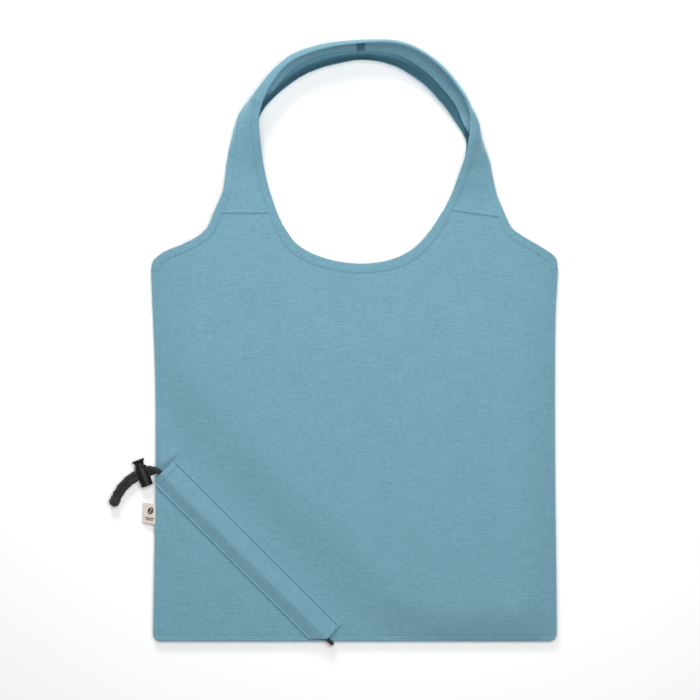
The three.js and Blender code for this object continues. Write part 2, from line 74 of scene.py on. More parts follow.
FRONT_SEAM_Z = SEAM_Z + 2 * FABRIC + GAP
FRONT_CORD_Z = FRONT_SEAM_Z + GAP + CORD / 2
BACK_CORD_Z = SEAM_Z - GAP - CORD / 2
LOCK_Z = 6.15

INNER_LEFT = -74.4
OUTER_LEFT = -134.0
INNER_RIGHT = 84.5
INNER_RIGHT_Y = 409.6
OUTER_RIGHT = 142.4
OUTER_RIGHT_Y = 401.3
RIGHT_SEAM_HEADING = -8.2

LEFT_SEAM = [(0, -191.5), (60, -190.5), (160, -189), (250, -189.5), (SIDE_TOP, -193.5)]
RIGHT_SEAM = [(0, 190.5), (60, 190), (160, 188.8), (300, 189), (SIDE_TOP, 191.5)]
ARMHOLE_LEFT = [
    (-193.5, SIDE_TOP), (-191.5, 360), (-181, 368.5), (-162.5, 376.2), (-148, 384),
    (-139.5, 392.5), (OUTER_LEFT, FOLD_Y),
]
SHOULDER_LEFT = [(OUTER_LEFT, FOLD_Y), (INNER_LEFT, FOLD_Y)]
NECK = [
    (INNER_LEFT, FOLD_Y), (-67, 391), (-56, 376.5), (-40, 366.5), (-17, 359.5), (9, 357.3),
    (35, 361.5), (54, 371), (70, 387.5), (INNER_RIGHT, INNER_RIGHT_Y),
]
SHOULDER_RIGHT = [(INNER_RIGHT, INNER_RIGHT_Y), (OUTER_RIGHT, OUTER_RIGHT_Y)]
ARMHOLE_RIGHT = [
    (OUTER_RIGHT, OUTER_RIGHT_Y), (148, 391), (159, 382.8), (176, 373), (190, 362.5),
    (191.5, SIDE_TOP),
]
TOP_STRETCHES = [ARMHOLE_LEFT, SHOULDER_LEFT, NECK, SHOULDER_RIGHT, ARMHOLE_RIGHT]

# Height of the back handle's cloth where it lies on the floor.
FLOOR_Z = 1.25
# A strap's rows: inner edge x, y, z, the way its width points in plan, its width, and the slope
# its cross-section starts at and turns by. Angles are in degrees.
FRONT_ROWS = [
    (INNER_LEFT, FOLD_Y, 11.75, 180, 59.4, 0, 0),
    (-81.5, 427, 11.9, 180, 43.5, 0, 0),
    (-86, 445, 14, 180, 36.8, 0, -14),
    (-89.6, 473, 24, 178, 32, -3, -50),
    (-90.3, 497, 31, 172, 30, -5, -86),
    (-80.5, 522.5, 35.5, 146, 32, -19, -154),
    (-61, 545.3, 36.5, 120, 31, -38.5, -120),
    (-33.7, 556.8, 36.5, 104, 30, -44, -104),
    (5, 563, 36.5, 90, 29, -62, -74),
    (42.7, 562, 36.5, 73, 30, -63.5, -85.5),
    (71, 548, 36.5, 50, 31, -63, -96),
    (93.1, 524.8, 36.5, 33, 31, -60.5, -99.5),
    (105.3, 504.8, 36, 20, 30, -61, -95),
    (107.8, 487, 33, 13, 30, -3.5, -197),
    (106.7, 474.1, 31, 8.5, 30, 4, -158),
    (104, 461, 26.5, 4, 30, -10, -70),
    (96.5, 438, 18, 1, 34.5, 0, -32),
    (91, 423, 13, -2, 43, 0, -10),
    (INNER_RIGHT, INNER_RIGHT_Y, 11.75, RIGHT_SEAM_HEADING, 58.5, 0, 0),
]
BACK_ROWS = [
    (INNER_LEFT - 1, FOLD_Y, FLOOR_Z, 180, 57.6, 0, 0),
    (-84, 427, FLOOR_Z, 180, 41, 0, 0),
    (-89, 445, FLOOR_Z, 180, 30, 0, 0),
    (-92.5, 466, 2.7, 178, 22, -8, 20),
    (-93, 484, 7.4, 174, 22, -28, 40),
    (-89.2, 499.6, 11.4, 160, 20, -50, 60),
    (-75, 516.5, 14.4, 138, 21, -66, 78),
    (-48, 535.9, 15.4, 120, 22, -68, 80),
    (-20, 545.8, 15.4, 104, 22, -68, 80),
    (8, 549.8, 15.4, 90, 22, -68, 80),
    (35, 544.8, 15.4, 72, 22, -68, 80),
    (60, 530.4, 15.4, 52, 22, -68, 80),
    (80.8, 510, 15.1, 40, 22, -66, 78),
    (97.6, 487.2, 10, 28, 17, -50, 58),
    (104.8, 474.6, 4.5, 14, 17.8, -30, 130),
    (103.5, 457, 2, 3, 18.4, -8, 60),
    (98, 440, FLOOR_Z, 0, 29, 0, 0),
    (92, 423, FLOOR_Z, -2, 40.5, 0, 0),
    (INNER_RIGHT + 1, INNER_RIGHT_Y - 0.2, FLOOR_Z, RIGHT_SEAM_HEADING, 56.4, 0, 0),
]
# How late across a strap its cross-section turns: 1 is evenly.
FRONT_BUNCH = 1.0
BACK_BUNCH = 2.2

# The bag's axes sit in the row frame where the front panel's lowest corner says.
PANEL_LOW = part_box("front_panel")[0]
PANEL_LEFT = -193.494
OFFSET = np.array([PANEL_LOW[0] * 1000 - PANEL_LEFT, PANEL_LOW[1] * 1000, 0.0])


def framed(points):
    """Points in the bag's millimetres as metres in the row frame."""
    return (np.asarray(points, float) + OFFSET) / 1000


# ---- Curves ----
def mix(a, b, t):
    return a + (b - a) * t


def smooth(t):
    t = np.clip(t, 0, 1)
    return t * t * (3 - 2 * t)


def through(points):
    """A smooth function through (x, y) points."""
    xs, ys = np.array(points, float).T
    slopes = np.gradient(ys, xs)
    slopes[1:-1] = (ys[2:] - ys[:-2]) / (xs[2:] - xs[:-2])

    def value(x):
        x = np.clip(np.asarray(x, float), xs[0], xs[-1])
        i = np.clip(np.searchsorted(xs, x, side="right") - 1, 0, len(xs) - 2)
        h = xs[i + 1] - xs[i]
        t = (x - xs[i]) / h
        return (
            ys[i] * (1 + 2 * t) * (1 - t) ** 2 + ys[i + 1] * t * t * (3 - 2 * t)
            + slopes[i] * h * t * (1 - t) ** 2 - slopes[i + 1] * h * t * t * (1 - t)
        )

    return value


def catmull_rom(points, at):
    """The centripetal spline through points, at numbers from 0 to the last point's."""
    points = np.asarray(points, float)
    at = np.asarray(at, float)
    ends = np.vstack([2 * points[0] - points[1], points, 2 * points[-1] - points[-2]])
    i = np.clip(np.floor(at).astype(int), 0, len(points) - 2)
    t = (at - i)[..., None]
    p0, p1, p2, p3 = ends[i], ends[i + 1], ends[i + 2], ends[i + 3]

    def root(a, b):
        return np.sqrt(np.linalg.norm(a - b, axis=-1, keepdims=True))

    d0, d1, d2 = root(p0, p1), root(p1, p2), root(p2, p3)
    d1 = np.where(d1 < 1e-4, 1.0, d1)
    d0 = np.where(d0 < 1e-4, d1, d0)
    d2 = np.where(d2 < 1e-4, d1, d2)
    m1 = ((p1 - p0) / d0 - (p2 - p0) / (d0 + d1) + (p2 - p1) / d1) * d1
    m2 = ((p2 - p1) / d1 - (p3 - p1) / (d1 + d2) + (p3 - p2) / d2) * d1
    return p1 + m1 * t + (3 * (p2 - p1) - 2 * m1 - m2) * t**2 + (2 * (p1 - p2) + m1 + m2) * t**3


def run_along(path):
    """The distance along a path to each of its points."""
    return np.concatenate([[0], np.cumsum(np.linalg.norm(np.diff(path, axis=0), axis=1))])


def stepped(length, step):
    """Distances from 0 to length that are about step apart."""
    return np.linspace(0, length, max(2, int(round(length / step))) + 1)


def spots_at(wanted, run, path):
    """The points of a path, or other triples along it, at the wanted distances."""
    return np.stack([np.interp(wanted, run, path[:, k]) for k in range(3)], axis=-1)


def even(points, step):
    """Numbers that step evenly along the spline through points, and the distance at each."""
    fine = np.linspace(0, len(points) - 1, 1200)
    run = run_along(catmull_rom(points, fine))
    wanted = stepped(run[-1], step)
    return np.interp(wanted, run, fine), wanted


def pairs(a, b):
    """Two arrays that fit each other as one array of (a, b) points."""
    return np.stack(np.broadcast_arrays(a, b), -1)


def ripple(points, size, seed):
    """Smooth noise from about -1 to 1 at each point, with waves of about that size."""
    flat = np.asarray(points, float).reshape(-1, points.shape[-1])
    lift = np.zeros(len(flat))
    for k, p in enumerate(flat):
        third = p[2] if len(p) > 2 else 0
        lift[k] = noise.noise(Vector((p[0] / size + seed, p[1] / size, third / size)))
    return lift.reshape(points.shape[:-1])


# ---- Meshes ----
def mesh_object(name, verts, faces, material=None, uvs=None, soft=True):
    """A new object from points in the row frame, quads or triangles, and a UV for each point."""
    mesh = bpy.data.meshes.new(name)
    mesh.from_pydata([tuple(v) for v in verts], [], [tuple(int(i) for i in f) for f in faces])
    if uvs is not None:
        layer = mesh.uv_layers.new(name="cloth")
        corners = np.empty(len(mesh.loops), dtype=int)
        mesh.loops.foreach_get("vertex_index", corners)
        layer.data.foreach_set("uv", np.asarray(uvs, float)[corners].ravel())
    if soft:
        mesh.polygons.foreach_set("use_smooth", [True] * len(mesh.polygons))
    if material:
        mesh.materials.append(material)
    mesh.update()
    obj = bpy.data.objects.new(name, mesh)
    bpy.context.scene.collection.objects.link(obj)
    return obj


def grid_faces(rows, columns, around=False, base=0):
    """Quads over a grid of points. around joins the last column to the first."""
    faces = []
    for i in range(rows - 1):
        for j in range(columns if around else columns - 1):
            k = (j + 1) % columns
            here, above = base + i * columns, base + (i + 1) * columns
            faces.append((here + j, above + j, above + k, here + k))
    return faces


def cloth_grid(name, spots, uvs, material, thickness=0.0):
    """A cloth surface over a grid of spots in the bag's millimetres, thickened inwards."""
    verts = framed(spots.reshape(-1, 3))
    obj = mesh_object(name, verts, grid_faces(*spots.shape[:2]), material, uvs.reshape(-1, 2) / 1000)
    if thickness:
        shell = obj.modifiers.new("Thickness", "SOLIDIFY")
        shell.thickness = thickness / 1000
        shell.offset = -1
    return obj


def frames_along(path):
    """The direction and two square directions at each point of a path, without twist."""
    path = np.asarray(path, float)
    ahead = np.gradient(path, axis=0)
    ahead /= np.linalg.norm(ahead, axis=1, keepdims=True)
    side = np.cross(ahead[0], (0, 0, 1))
    if np.linalg.norm(side) < 0.1:
        side = np.cross(ahead[0], (0, 1, 0))
    sides = []
    for direction in ahead:
        side = side - direction * np.dot(side, direction)
        side = side / np.linalg.norm(side)
        sides.append(side)
    sides = np.array(sides)
    return ahead, sides, np.cross(ahead, sides)


def angles_round(count):
    return np.arange(count) / count * 2 * np.pi


def rings(side, up, angle):
    """The directions at each angle round each point of a path."""
    across, height = np.cos(angle)[None, :, None], np.sin(angle)[None, :, None]
    return side[:, None] * across + up[:, None] * height


YARNS = 6  # in each direction round the cord
BRAID_PITCH = 11.0
BRAID_DEPTH = 0.11
BRAID_MEAN = 0.75  # of the yarns' height
YARN_UNDER = 0.7  # height of a yarn where it passes under another
BRAID_GIRTH = 13.0
CORD_STEP = 0.42
CORD_SIDES = 30
# An uneven cord's lumps, and how far and how often it strays from its line.
LUMP_LONG = 3.1
WANDER = 4.4
WANDER_LONG = 4.6
CUT_END = 1.2  # how much of a cut end is rounded


def braid(name, path, diameter, material, capped=True, lumpy=0.0):
    """A braided round cord along a path. lumpy is how uneven its thickness and its line are."""
    path = np.asarray(path, float)
    run = run_along(path)
    path = spots_at(stepped(run[-1], CORD_STEP), run, path)
    _, side, up = frames_along(path)
    run = np.arange(len(path)) * CORD_STEP
    angle = angles_round(CORD_SIDES)
    turn = run[:, None] / BRAID_PITCH * 2 * np.pi
    left = np.abs(np.sin(YARNS / 2 * (angle[None] + turn)))
    right = np.abs(np.sin(YARNS / 2 * (angle[None] - turn)))
    left_over = np.sin(YARNS * angle[None]) * np.sin(YARNS * turn) > 0
    upper, under = np.where(left_over, (left, right), (right, left))
    height = np.maximum(upper, YARN_UNDER * under)
    radius = diameter / 2 * (1 + BRAID_DEPTH * (height - BRAID_MEAN))
    if lumpy:
        along = pairs(run, path[0, 2])
        radius = radius * (1 + lumpy * ripple(along, LUMP_LONG, 5))[:, None]
        path = path + side * (WANDER * lumpy * ripple(along, WANDER_LONG, 8))[:, None]
    if capped:
        taper = np.minimum(run, run[::-1])
        radius = radius * np.sqrt(np.clip(1 - (1 - taper / CUT_END).clip(0) ** 2, 0.02, 1))[:, None]
    spots = path[:, None] + rings(side, up, angle) * radius[..., None]
    uvs = pairs(angle[None] / (2 * np.pi) * BRAID_GIRTH, run[:, None]).reshape(-1, 2) / 1000
    faces = grid_faces(len(path), CORD_SIDES, around=True)
    return mesh_object(name, framed(spots.reshape(-1, 3)), faces, material, uvs)


def end_caps(rows, columns):
    """One face over each end of a tube of rows rings."""
    return [tuple(range(columns)), tuple(range((rows - 1) * columns, rows * columns))[::-1]]


def lathe(name, profile, segments, material):
    """A turned solid about local Y, from (radius, y) pairs, in millimetres at the origin."""
    angle = angles_round(segments)
    verts = [(r * math.cos(a), y, r * math.sin(a)) for r, y in profile for a in angle]
    faces = grid_faces(len(profile), segments, around=True) + end_caps(len(profile), segments)
    return mesh_object(name, verts, faces, material)


# ---- Materials ----
class Nodes:
    """A short way to write a material's node tree."""

    def __init__(self, name):
        self.material = bpy.data.materials.new(name)
        self.material.use_nodes = True
        self.tree = self.material.node_tree
        self.shader = self.tree.nodes["Principled BSDF"]
        cloth = self.tree.nodes.new("ShaderNodeUVMap")
        cloth.uv_map = "cloth"
        split = self.add("ShaderNodeSeparateXYZ", Vector=cloth.outputs[0])
        self.across, self.along = split.outputs[0], split.outputs[1]

    def add(self, kind, settings=None, **inputs):
        node = self.tree.nodes.new(kind)
        for key, value in (settings or {}).items():
            setattr(node, key, value)
        self.fill(node, inputs)
        return node

    def fill(self, node, inputs):
        """Gives a node its inputs. An underscore in a name stands for a space."""
        for key, value in inputs.items():
            self.feed(node.inputs[key.replace("_", " ")], value)

    def feed(self, socket, value):
        if isinstance(value, bpy.types.NodeSocket):
            self.tree.links.new(value, socket)
        else:
            socket.default_value = value

    def math(self, operation, *values):
        node = self.tree.nodes.new("ShaderNodeMath")
        node.operation = operation
        for socket, value in zip(node.inputs, values):
            self.feed(socket, value)
        return node.outputs[0]

    def plus(self, a, b):
        return self.math("ADD", a, b)

    def times(self, a, b):
        return self.math("MULTIPLY", a, b)

    def scaled(self, value, factor, offset):
        return self.plus(self.times(value, factor), offset)

    def noise(self, across_size, along_size, detail=2.0):
        """Noise with features of these sizes in metres along the cloth's two directions."""
        x = self.math("DIVIDE", self.across, across_size)
        y = self.math("DIVIDE", self.along, along_size)
        where = self.add("ShaderNodeCombineXYZ", X=x, Y=y).outputs[0]
        return self.add("ShaderNodeTexNoise", Vector=where, Scale=1.0, Detail=detail).outputs["Fac"]

    def grain(self, scale, detail):
        """Noise through the solid itself, for a piece without cloth's two directions."""
        where = self.add("ShaderNodeTexCoord").outputs["Object"]
        return self.add("ShaderNodeTexNoise", Vector=where, Scale=scale, Detail=detail).outputs["Fac"]

    def colour(self, color, shade):
        """Gives the surface color times shade, a value near 1."""
        grey = self.add("ShaderNodeCombineColor", Red=shade, Green=shade, Blue=shade)
        blend = self.add("ShaderNodeMix", {"data_type": "RGBA", "blend_type": "MULTIPLY"})
        self.feed(blend.inputs[0], 1.0)
        self.feed(blend.inputs[6], color)
        self.feed(blend.inputs[7], grey.outputs[0])
        self.look(Base_Color=blend.outputs[2])

    def look(self, **inputs):
        """Gives the surface's shader its inputs."""
        self.fill(self.shader, inputs)

    def bump(self, height, strength, distance):
        relief = self.add("ShaderNodeBump", Height=height, Strength=strength, Distance=distance)
        self.look(Normal=relief.outputs[0])


def linear(red, green, blue):
    """A screen colour from 0 to 255 as the linear colour a shader takes."""
    shares = [c / 255 for c in (red, green, blue)]
    return tuple(((c + 0.055) / 1.055) ** 2.4 if c > 0.04 else c / 12.92 for c in shares) + (1.0,)


def plain_weave(nodes, pitch):
    """Height of a plain weave, and 0 or 1 for whether the lengthwise thread is on top."""
    halves = [nodes.math("DIVIDE", way, pitch) for way in (nodes.across, nodes.along)]
    bulges = [nodes.math("ABSOLUTE", nodes.math("SINE", nodes.times(h, math.pi))) for h in halves]
    cells = nodes.plus(*[nodes.math("FLOOR", h) for h in halves])
    on_top = nodes.math("PINGPONG", cells, 1.0)
    under = nodes.math("SUBTRACT", 1.0, on_top)
    threads = [nodes.times(bulge, nodes.scaled(top, 0.6, 0.4)) for bulge, top in zip(bulges, (on_top, under))]
    return nodes.math("MAXIMUM", *threads), on_top


FUZZ_TINT = (0.5, 0.85, 1.0, 1)
LONG_YARNS = 0.45  # how uneven the lengthwise yarns are beside the crosswise ones
BLOTCHES = 0.06


def cotton(name, color, pitch=0.00052, slub=0.42, worn=0.05, fuzz=0.85):
    """Plain woven cotton: threads, thick and thin yarns both ways, and slightly uneven dye."""
    nodes = Nodes(name)
    height, on_top = plain_weave(nodes, pitch)
    long_yarn = nodes.noise(0.00095, 0.005)
    cross_yarn = nodes.noise(0.005, 0.00095)
    long_slub = nodes.noise(0.0008, 0.022)
    cross_slub = nodes.noise(0.022, 0.0008)
    blotch = nodes.noise(0.0045, 0.0045, 3.0)
    dye = nodes.noise(0.045, 0.06, 1.0)
    crosswise = nodes.times(nodes.plus(cross_yarn, cross_slub), slub)
    lengthwise = nodes.times(nodes.plus(long_yarn, long_slub), slub * LONG_YARNS)
    shade = nodes.plus(nodes.plus(crosswise, lengthwise), 1 - slub * (1 + LONG_YARNS))
    shade = nodes.plus(shade, nodes.scaled(blotch, BLOTCHES, -BLOTCHES / 2))
    shade = nodes.plus(shade, nodes.scaled(dye, worn, -worn / 2))
    # Painted shade: the colour darkens where the weave's height is low, between the threads.
    nodes.colour(color, nodes.times(shade, nodes.scaled(height, 0.14, 0.9)))
    nodes.look(Roughness=nodes.scaled(on_top, 0.06, 0.86), Specular_IOR_Level=0.25)
    nodes.look(Sheen_Weight=fuzz, Sheen_Roughness=0.5, Sheen_Tint=FUZZ_TINT)
    nodes.bump(nodes.plus(height, nodes.times(nodes.plus(long_yarn, cross_yarn), 0.5)), 0.35, 0.00018)
    return nodes.material


def thread(name, color):
    """Sewing thread: a fine twist along it."""
    nodes = Nodes(name)
    twist = nodes.math("SINE", nodes.times(nodes.plus(nodes.along, nodes.across), 9000.0))
    # Painted shade: the colour follows the twist's relief, lighter on its ridges and darker in its grooves.
    nodes.colour(color, nodes.scaled(twist, 0.1, 0.95))
    nodes.look(Roughness=0.6)
    nodes.bump(twist, 0.3, 0.0001)
    return nodes.material


def braided_cord(name, color):
    """Braided polyester: crossing yarns of slightly different grey, with a soft sheen."""
    nodes = Nodes(name)
    yarn = nodes.noise(0.0006, 0.0012, 3.0)
    fibre = nodes.noise(0.00012, 0.0009, 2.0)
    nodes.colour(color, nodes.scaled(nodes.plus(yarn, fibre), 0.9, 0.25))
    nodes.look(Roughness=nodes.scaled(fibre, 0.2, 0.6), Sheen_Weight=0.2)
    nodes.bump(fibre, 0.4, 0.0002)
    return nodes.material


def moulded(name, color):
    """Satin moulded plastic: fine spark texture, a little scuffed."""
    nodes = Nodes(name)
    spark = nodes.grain(2200.0, 3.0)
    scuff = nodes.grain(260.0, 5.0)
    nodes.colour(color, nodes.scaled(scuff, 0.5, 0.75))
    nodes.look(Roughness=nodes.scaled(scuff, 0.3, 0.4), Specular_IOR_Level=0.3)
    nodes.bump(spark, 0.25, 0.0001)
    return nodes.material


def drawn_steel(name):
    """Drawn spring wire with fine marks on it."""
    nodes = Nodes(name)
    marks = nodes.grain(1500.0, 4.0)
    nodes.colour((0.6, 0.61, 0.63, 1), nodes.plus(marks, 0.5))
    nodes.look(Metallic=1.0, Roughness=nodes.scaled(marks, 0.2, 0.2))
    return nodes.material


def satin_tape(name, color):
    """Woven label tape: a fine rib with a slight gloss."""
    nodes = Nodes(name)
    height, _ = plain_weave(nodes, 0.00034)
    blotch = nodes.noise(0.0006, 0.0009, 3.0)
    # Painted shade: the colour darkens where the rib's height is low, between the threads.
    nodes.colour(color, nodes.plus(nodes.times(blotch, 0.3), nodes.scaled(height, 0.15, 0.74)))
    nodes.look(Roughness=nodes.scaled(blotch, 0.2, 0.5))
    nodes.bump(height, 0.4, 0.00012)
    return nodes.material


BLUE = linear(107, 150, 166)
BLUE_TAPE = linear(106, 149, 165)
BLUE_THREAD = linear(103, 149, 166)
COTTON = cotton("Woven_cotton", BLUE)
COTTON_TAPE = cotton("Bias_cotton", BLUE_TAPE, pitch=0.0005)
# Painted shade: a darker cotton without sheen on the back handle's upper face, on its bindings' upper side
# and on its top seam. It stands in for the shade under the front handle.
COTTON_PAINTED_SHADE = cotton("Woven_cotton_painted_shade", linear(65, 107, 123), fuzz=0.0)
THREAD = thread("Sewing_thread", BLUE_THREAD)
# Painted shade: the top seam's overlock thread is darker than the sewing thread. The darker colour stands in
# for the shade along the seam.
OVERLOCK_PAINTED_SHADE = thread("Overlock_thread_painted_shade", linear(70, 112, 127))
CORD_BRAID = braided_cord("Black_braid", linear(15, 16, 18))
PLASTIC = moulded("Black_plastic", linear(16, 18, 19))
STEEL = drawn_steel("Spring_wire")
LABEL_TAPE = satin_tape("Label_tape", linear(214, 204, 194))
INK = thread("Label_ink", linear(84, 74, 70))


# ---- Camera and light ----
VIEW_WIDE = 0.66334  # metres across the picture
VIEW_HEIGHT = 2.6
VIEW_CENTRE = (-5.2, 275.7, 8.0)
SENSOR = 36
FLOOR_HALF = 6


def set_camera():
    data = bpy.data.cameras.new("Camera")
    camera = bpy.data.objects.new("Camera", data)
    bpy.context.scene.collection.objects.link(camera)
    centre = framed(VIEW_CENTRE)
    camera.location = (centre[0], centre[1], centre[2] + VIEW_HEIGHT)
    data.sensor_width = SENSOR
    data.lens = SENSOR * VIEW_HEIGHT / VIEW_WIDE
    data.clip_end = 50
    bpy.context.scene.camera = camera


def area_light(name, spot, size, power):
    data = bpy.data.lights.new(name, "AREA")
    data.shape = "DISK"
    data.size = size
    data.energy = power
    light = bpy.data.objects.new(name, data)
    bpy.context.scene.collection.objects.link(light)
    light.location = spot
    light.visible_camera = False
    light.rotation_euler = (-Vector(spot)).to_track_quat("-Z", "Y").to_euler()


def set_studio():
    world = bpy.data.worlds.new("Studio")
    world.use_nodes = True
    sky = world.node_tree.nodes["Background"].inputs
    sky["Color"].default_value = (1, 1, 1, 1)
    sky["Strength"].default_value = 0.2
    bpy.context.scene.world = world
    bpy.context.scene.view_settings.view_transform = "Standard"
    area_light("Key_light", (-0.28, 1.06, 0.8), 0.5, 9.0)
    area_light("Overhead_light", (0.1, 0.06, 1.2), 0.8, 12.6)
    paper = bpy.data.materials.new("Paper")
    paper.use_nodes = True
    surface = paper.node_tree.nodes["Principled BSDF"].inputs
    surface["Base Color"].default_value = (0.95, 0.95, 0.95, 1)
    surface["Roughness"].default_value = 0.9
    surface["Specular IOR Level"].default_value = 0.1
    edges = [(x * FLOOR_HALF, y * FLOOR_HALF, 0) for x, y in ((-1, -1), (1, -1), (1, 1), (-1, 1))]
    mesh_object("Floor", edges, [(0, 1, 2, 3)], paper)


set_camera()
set_studio()


# ---- Drawcord ----
def facing(degrees):
    return np.array([math.cos(math.radians(degrees)), math.sin(math.radians(degrees))])


# The free strands leave the casings on a short tight bend and go on in a wide one, side by side.
# Headings are in degrees.
CORD_HEADING = 135
LIFT_FROM = 10.5  # where the strands start to rise to the lock, and over what length
LIFT_LONG = 15
TUCKED = 4  # how much of a free strand's braid is inside the casing
INTO_KNOT = 3
WIDE_RADIUS = 45.0
STRAND_OFFSET = 2.3
BRAID = 5.0
LOCK_ANGLE = 110.8
LOCK_SPOT = np.array([-201.8, 159.2])
KNOT_ANGLE = 158.3
KNOT_RADIUS = 6.4
KNOT_CORD = 4.3
KNOT_TILT = math.radians(35)
LEFT_CORNER = -191.5
DOWN_CASING = facing(CORD_HEADING - 180)
OUT_OF_CORNER = facing(CORD_HEADING - 90)
ARC_CENTRE = LOCK_SPOT - WIDE_RADIUS * facing(LOCK_ANGLE)
ENTRY_ANGLE = LOCK_ANGLE - 7.8
ENTRY = ARC_CENTRE + WIDE_RADIUS * facing(ENTRY_ANGLE)
SMALL_TURN = ENTRY_ANGLE + 90 - CORD_HEADING
TOWARDS = facing(CORD_HEADING + SMALL_TURN / 2)
HALF_CHORD = math.sin(math.radians(SMALL_TURN / 2))
SMALL_RADIUS = (ENTRY.sum() - (CASING_AT * math.sqrt(2) + LEFT_CORNER)) / (TOWARDS.sum() * 2 * HALF_CHORD)
START = ENTRY - TOWARDS * 2 * SMALL_RADIUS * HALF_CHORD
SMALL_LENGTH = SMALL_RADIUS * math.radians(SMALL_TURN)
WIDE_LENGTH = WIDE_RADIUS * math.radians(KNOT_ANGLE - ENTRY_ANGLE) - KNOT_RADIUS + 0.6
HIDDEN = PULL + 6
SMALL_CENTRE = START - SMALL_RADIUS * OUT_OF_CORNER


def middle_line(d):
    """Plan position at a distance along the pair of strands, and the angle of its left side."""
    if d <= 0:
        return START - d * DOWN_CASING, CORD_HEADING + 90
    if d <= SMALL_LENGTH:
        heading = CORD_HEADING + math.degrees(d / SMALL_RADIUS)
        return SMALL_CENTRE + SMALL_RADIUS * facing(heading - 90), heading + 90
    angle = ENTRY_ANGLE + math.degrees((d - SMALL_LENGTH) / WIDE_RADIUS)
    return ARC_CENTRE + WIDE_RADIUS * facing(angle), angle + 180


def strand_point(d, on_front):
    spot, normal = middle_line(d)
    apart = smooth((d - 2) / (SMALL_LENGTH - 2)) * STRAND_OFFSET * (-1 if on_front else 1)
    start_z = FRONT_CORD_Z if on_front else BACK_CORD_Z
    height = mix(start_z, LOCK_Z, smooth((d - LIFT_FROM) / LIFT_LONG))
    return np.array([*(spot + apart * facing(normal)), height])


STRAND_END = SMALL_LENGTH + WIDE_LENGTH
# Where the cord's line in the casings is nearest to the corner's tip.
CASINGS = np.array([LEFT_CORNER + CASING_AT / math.sqrt(2), CASING_AT / math.sqrt(2)])


def make_knot():
    """An overhand knot pulled tight: a trefoil, tilted."""
    spot = middle_line(SMALL_LENGTH + WIDE_RADIUS * math.radians(KNOT_ANGLE - ENTRY_ANGLE) + 0.9)[0]
    t = np.linspace(0, 2 * np.pi, 160)
    reach = 2.55 + 1.25 * np.cos(3 * t)
    x, y, z = reach * np.cos(2 * t), reach * np.sin(2 * t), 1.9 * np.sin(3 * t)
    across = x * math.cos(KNOT_TILT) + z * math.sin(KNOT_TILT)
    height = z * math.cos(KNOT_TILT) - x * math.sin(KNOT_TILT)
    path = np.stack([spot[0] + across, spot[1] + y, KNOT_RADIUS + 0.1 + height], axis=1)
    knot = braid("Drawcord_knot_tied", path, KNOT_CORD, CORD_BRAID, capped=False)
    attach(knot, "cord_tail")
    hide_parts("drawcord_knot")
    return knot


def make_drawcord():
    knot = make_knot()
    for face, on_front in (("front", True), ("back", False)):
        free = [strand_point(d, on_front) for d in np.linspace(-TUCKED, STRAND_END + INTO_KNOT, 40)]
        hidden = [strand_point(d, on_front) for d in np.linspace(-HIDDEN, 1 - TUCKED, 12)]
        strand = braid(f"Drawcord_{face}", free, BRAID, CORD_BRAID, lumpy=0.16)
        inside = braid(f"Drawcord_{face}_in_casing", hidden, CORD - 0.5, CORD_BRAID)
        for piece in (strand, inside):
            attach(piece, "cord_tail")
        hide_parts(f"drawcord_strand_{face}")


def make_loop():
    """The cord from inside the front casing, round the bottom seam and into the back casing."""
    first = float((START - CASINGS) @ DOWN_CASING) + HIDDEN + GAP
    radius = (FRONT_CORD_Z - BACK_CORD_Z) / 2
    angle = np.linspace(0, np.pi, 24)
    along = np.array([first, *(CASING_AT + 0.3 + radius * np.sin(angle)), first])
    height = np.array([FRONT_CORD_Z, *(BACK_CORD_Z + radius * (1 + np.cos(angle))), BACK_CORD_Z])
    path = np.column_stack([CASINGS + along[:, None] * DOWN_CASING, height])
    loop = braid("Drawcord_round_bottom_seam", path, CORD - 0.3, CORD_BRAID)
    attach(loop, "bag")
    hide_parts("drawcord_loop")


make_drawcord()
make_loop()


# ---- Cloth surfaces ----
left_side = through(LEFT_SEAM)
right_side = through(RIGHT_SEAM)
FAR = 99.0
SIDE_GROOVE_AT = 3.2
HEM_GROOVE_AT = 4.6
GROOVE_DEEP = 0.3
GROOVE_WIDE = 0.75
BACK_LIFT = 0.75
# The cloth near its top edge is bound, and gathers there.
BOUND_FROM = 300
GATHER_LONG = 4.2
GATHER_RISE = 0.2
GATHER_REACH = 15
# The ridge of cloth beside the casing's mouth: how high and how wide, and the fall behind it. It
# runs in towards the bag from the cords, and is nearer to the mouth at its far end.
RIDGE_RISE = 3.0
RIDGE_LONG = 18
RIDGE_AWAY = (8, 3)
RIDGE_FALL = 12


def border(distance):
    """0 at a seam, rising to 1 where the cloth is full."""
    return 1 - (1 - np.clip(distance / EDGE_ROLL, 0, 1)) ** 2


def inset(x, y):
    """Distance in from the nearer side seam."""
    side = np.minimum(y, SIDE_TOP)
    return np.minimum(x - left_side(side), right_side(side) - x)


def puff(x, y):
    """How full the bag is, from 0 at its seams and in the casings' corner to 1."""
    side = np.minimum(y, SIDE_TOP)
    from_tip = (x - LEFT_CORNER + y) / math.sqrt(2)
    corner = smooth((from_tip - CORNER_FLAT) / CORNER_BLEND)
    return border(x - left_side(side)) * border(right_side(side) - x) * border(y) * corner


def mouth(y):
    """0 in the bag's body, 1 by its open mouth, where it lies flatter."""
    return smooth((y - 250) / 120)


def grooves(x, y):
    """The sewn line just inside the side seams and the bottom seam."""
    sides = np.exp(-(((inset(x, y) - SIDE_GROOVE_AT) / GROOVE_WIDE) ** 2)) * smooth((SIDE_TOP - y) / 12)
    hem = np.exp(-(((y - HEM_GROOVE_AT) / GROOVE_WIDE) ** 2))
    return -GROOVE_DEEP * np.maximum(sides, hem)


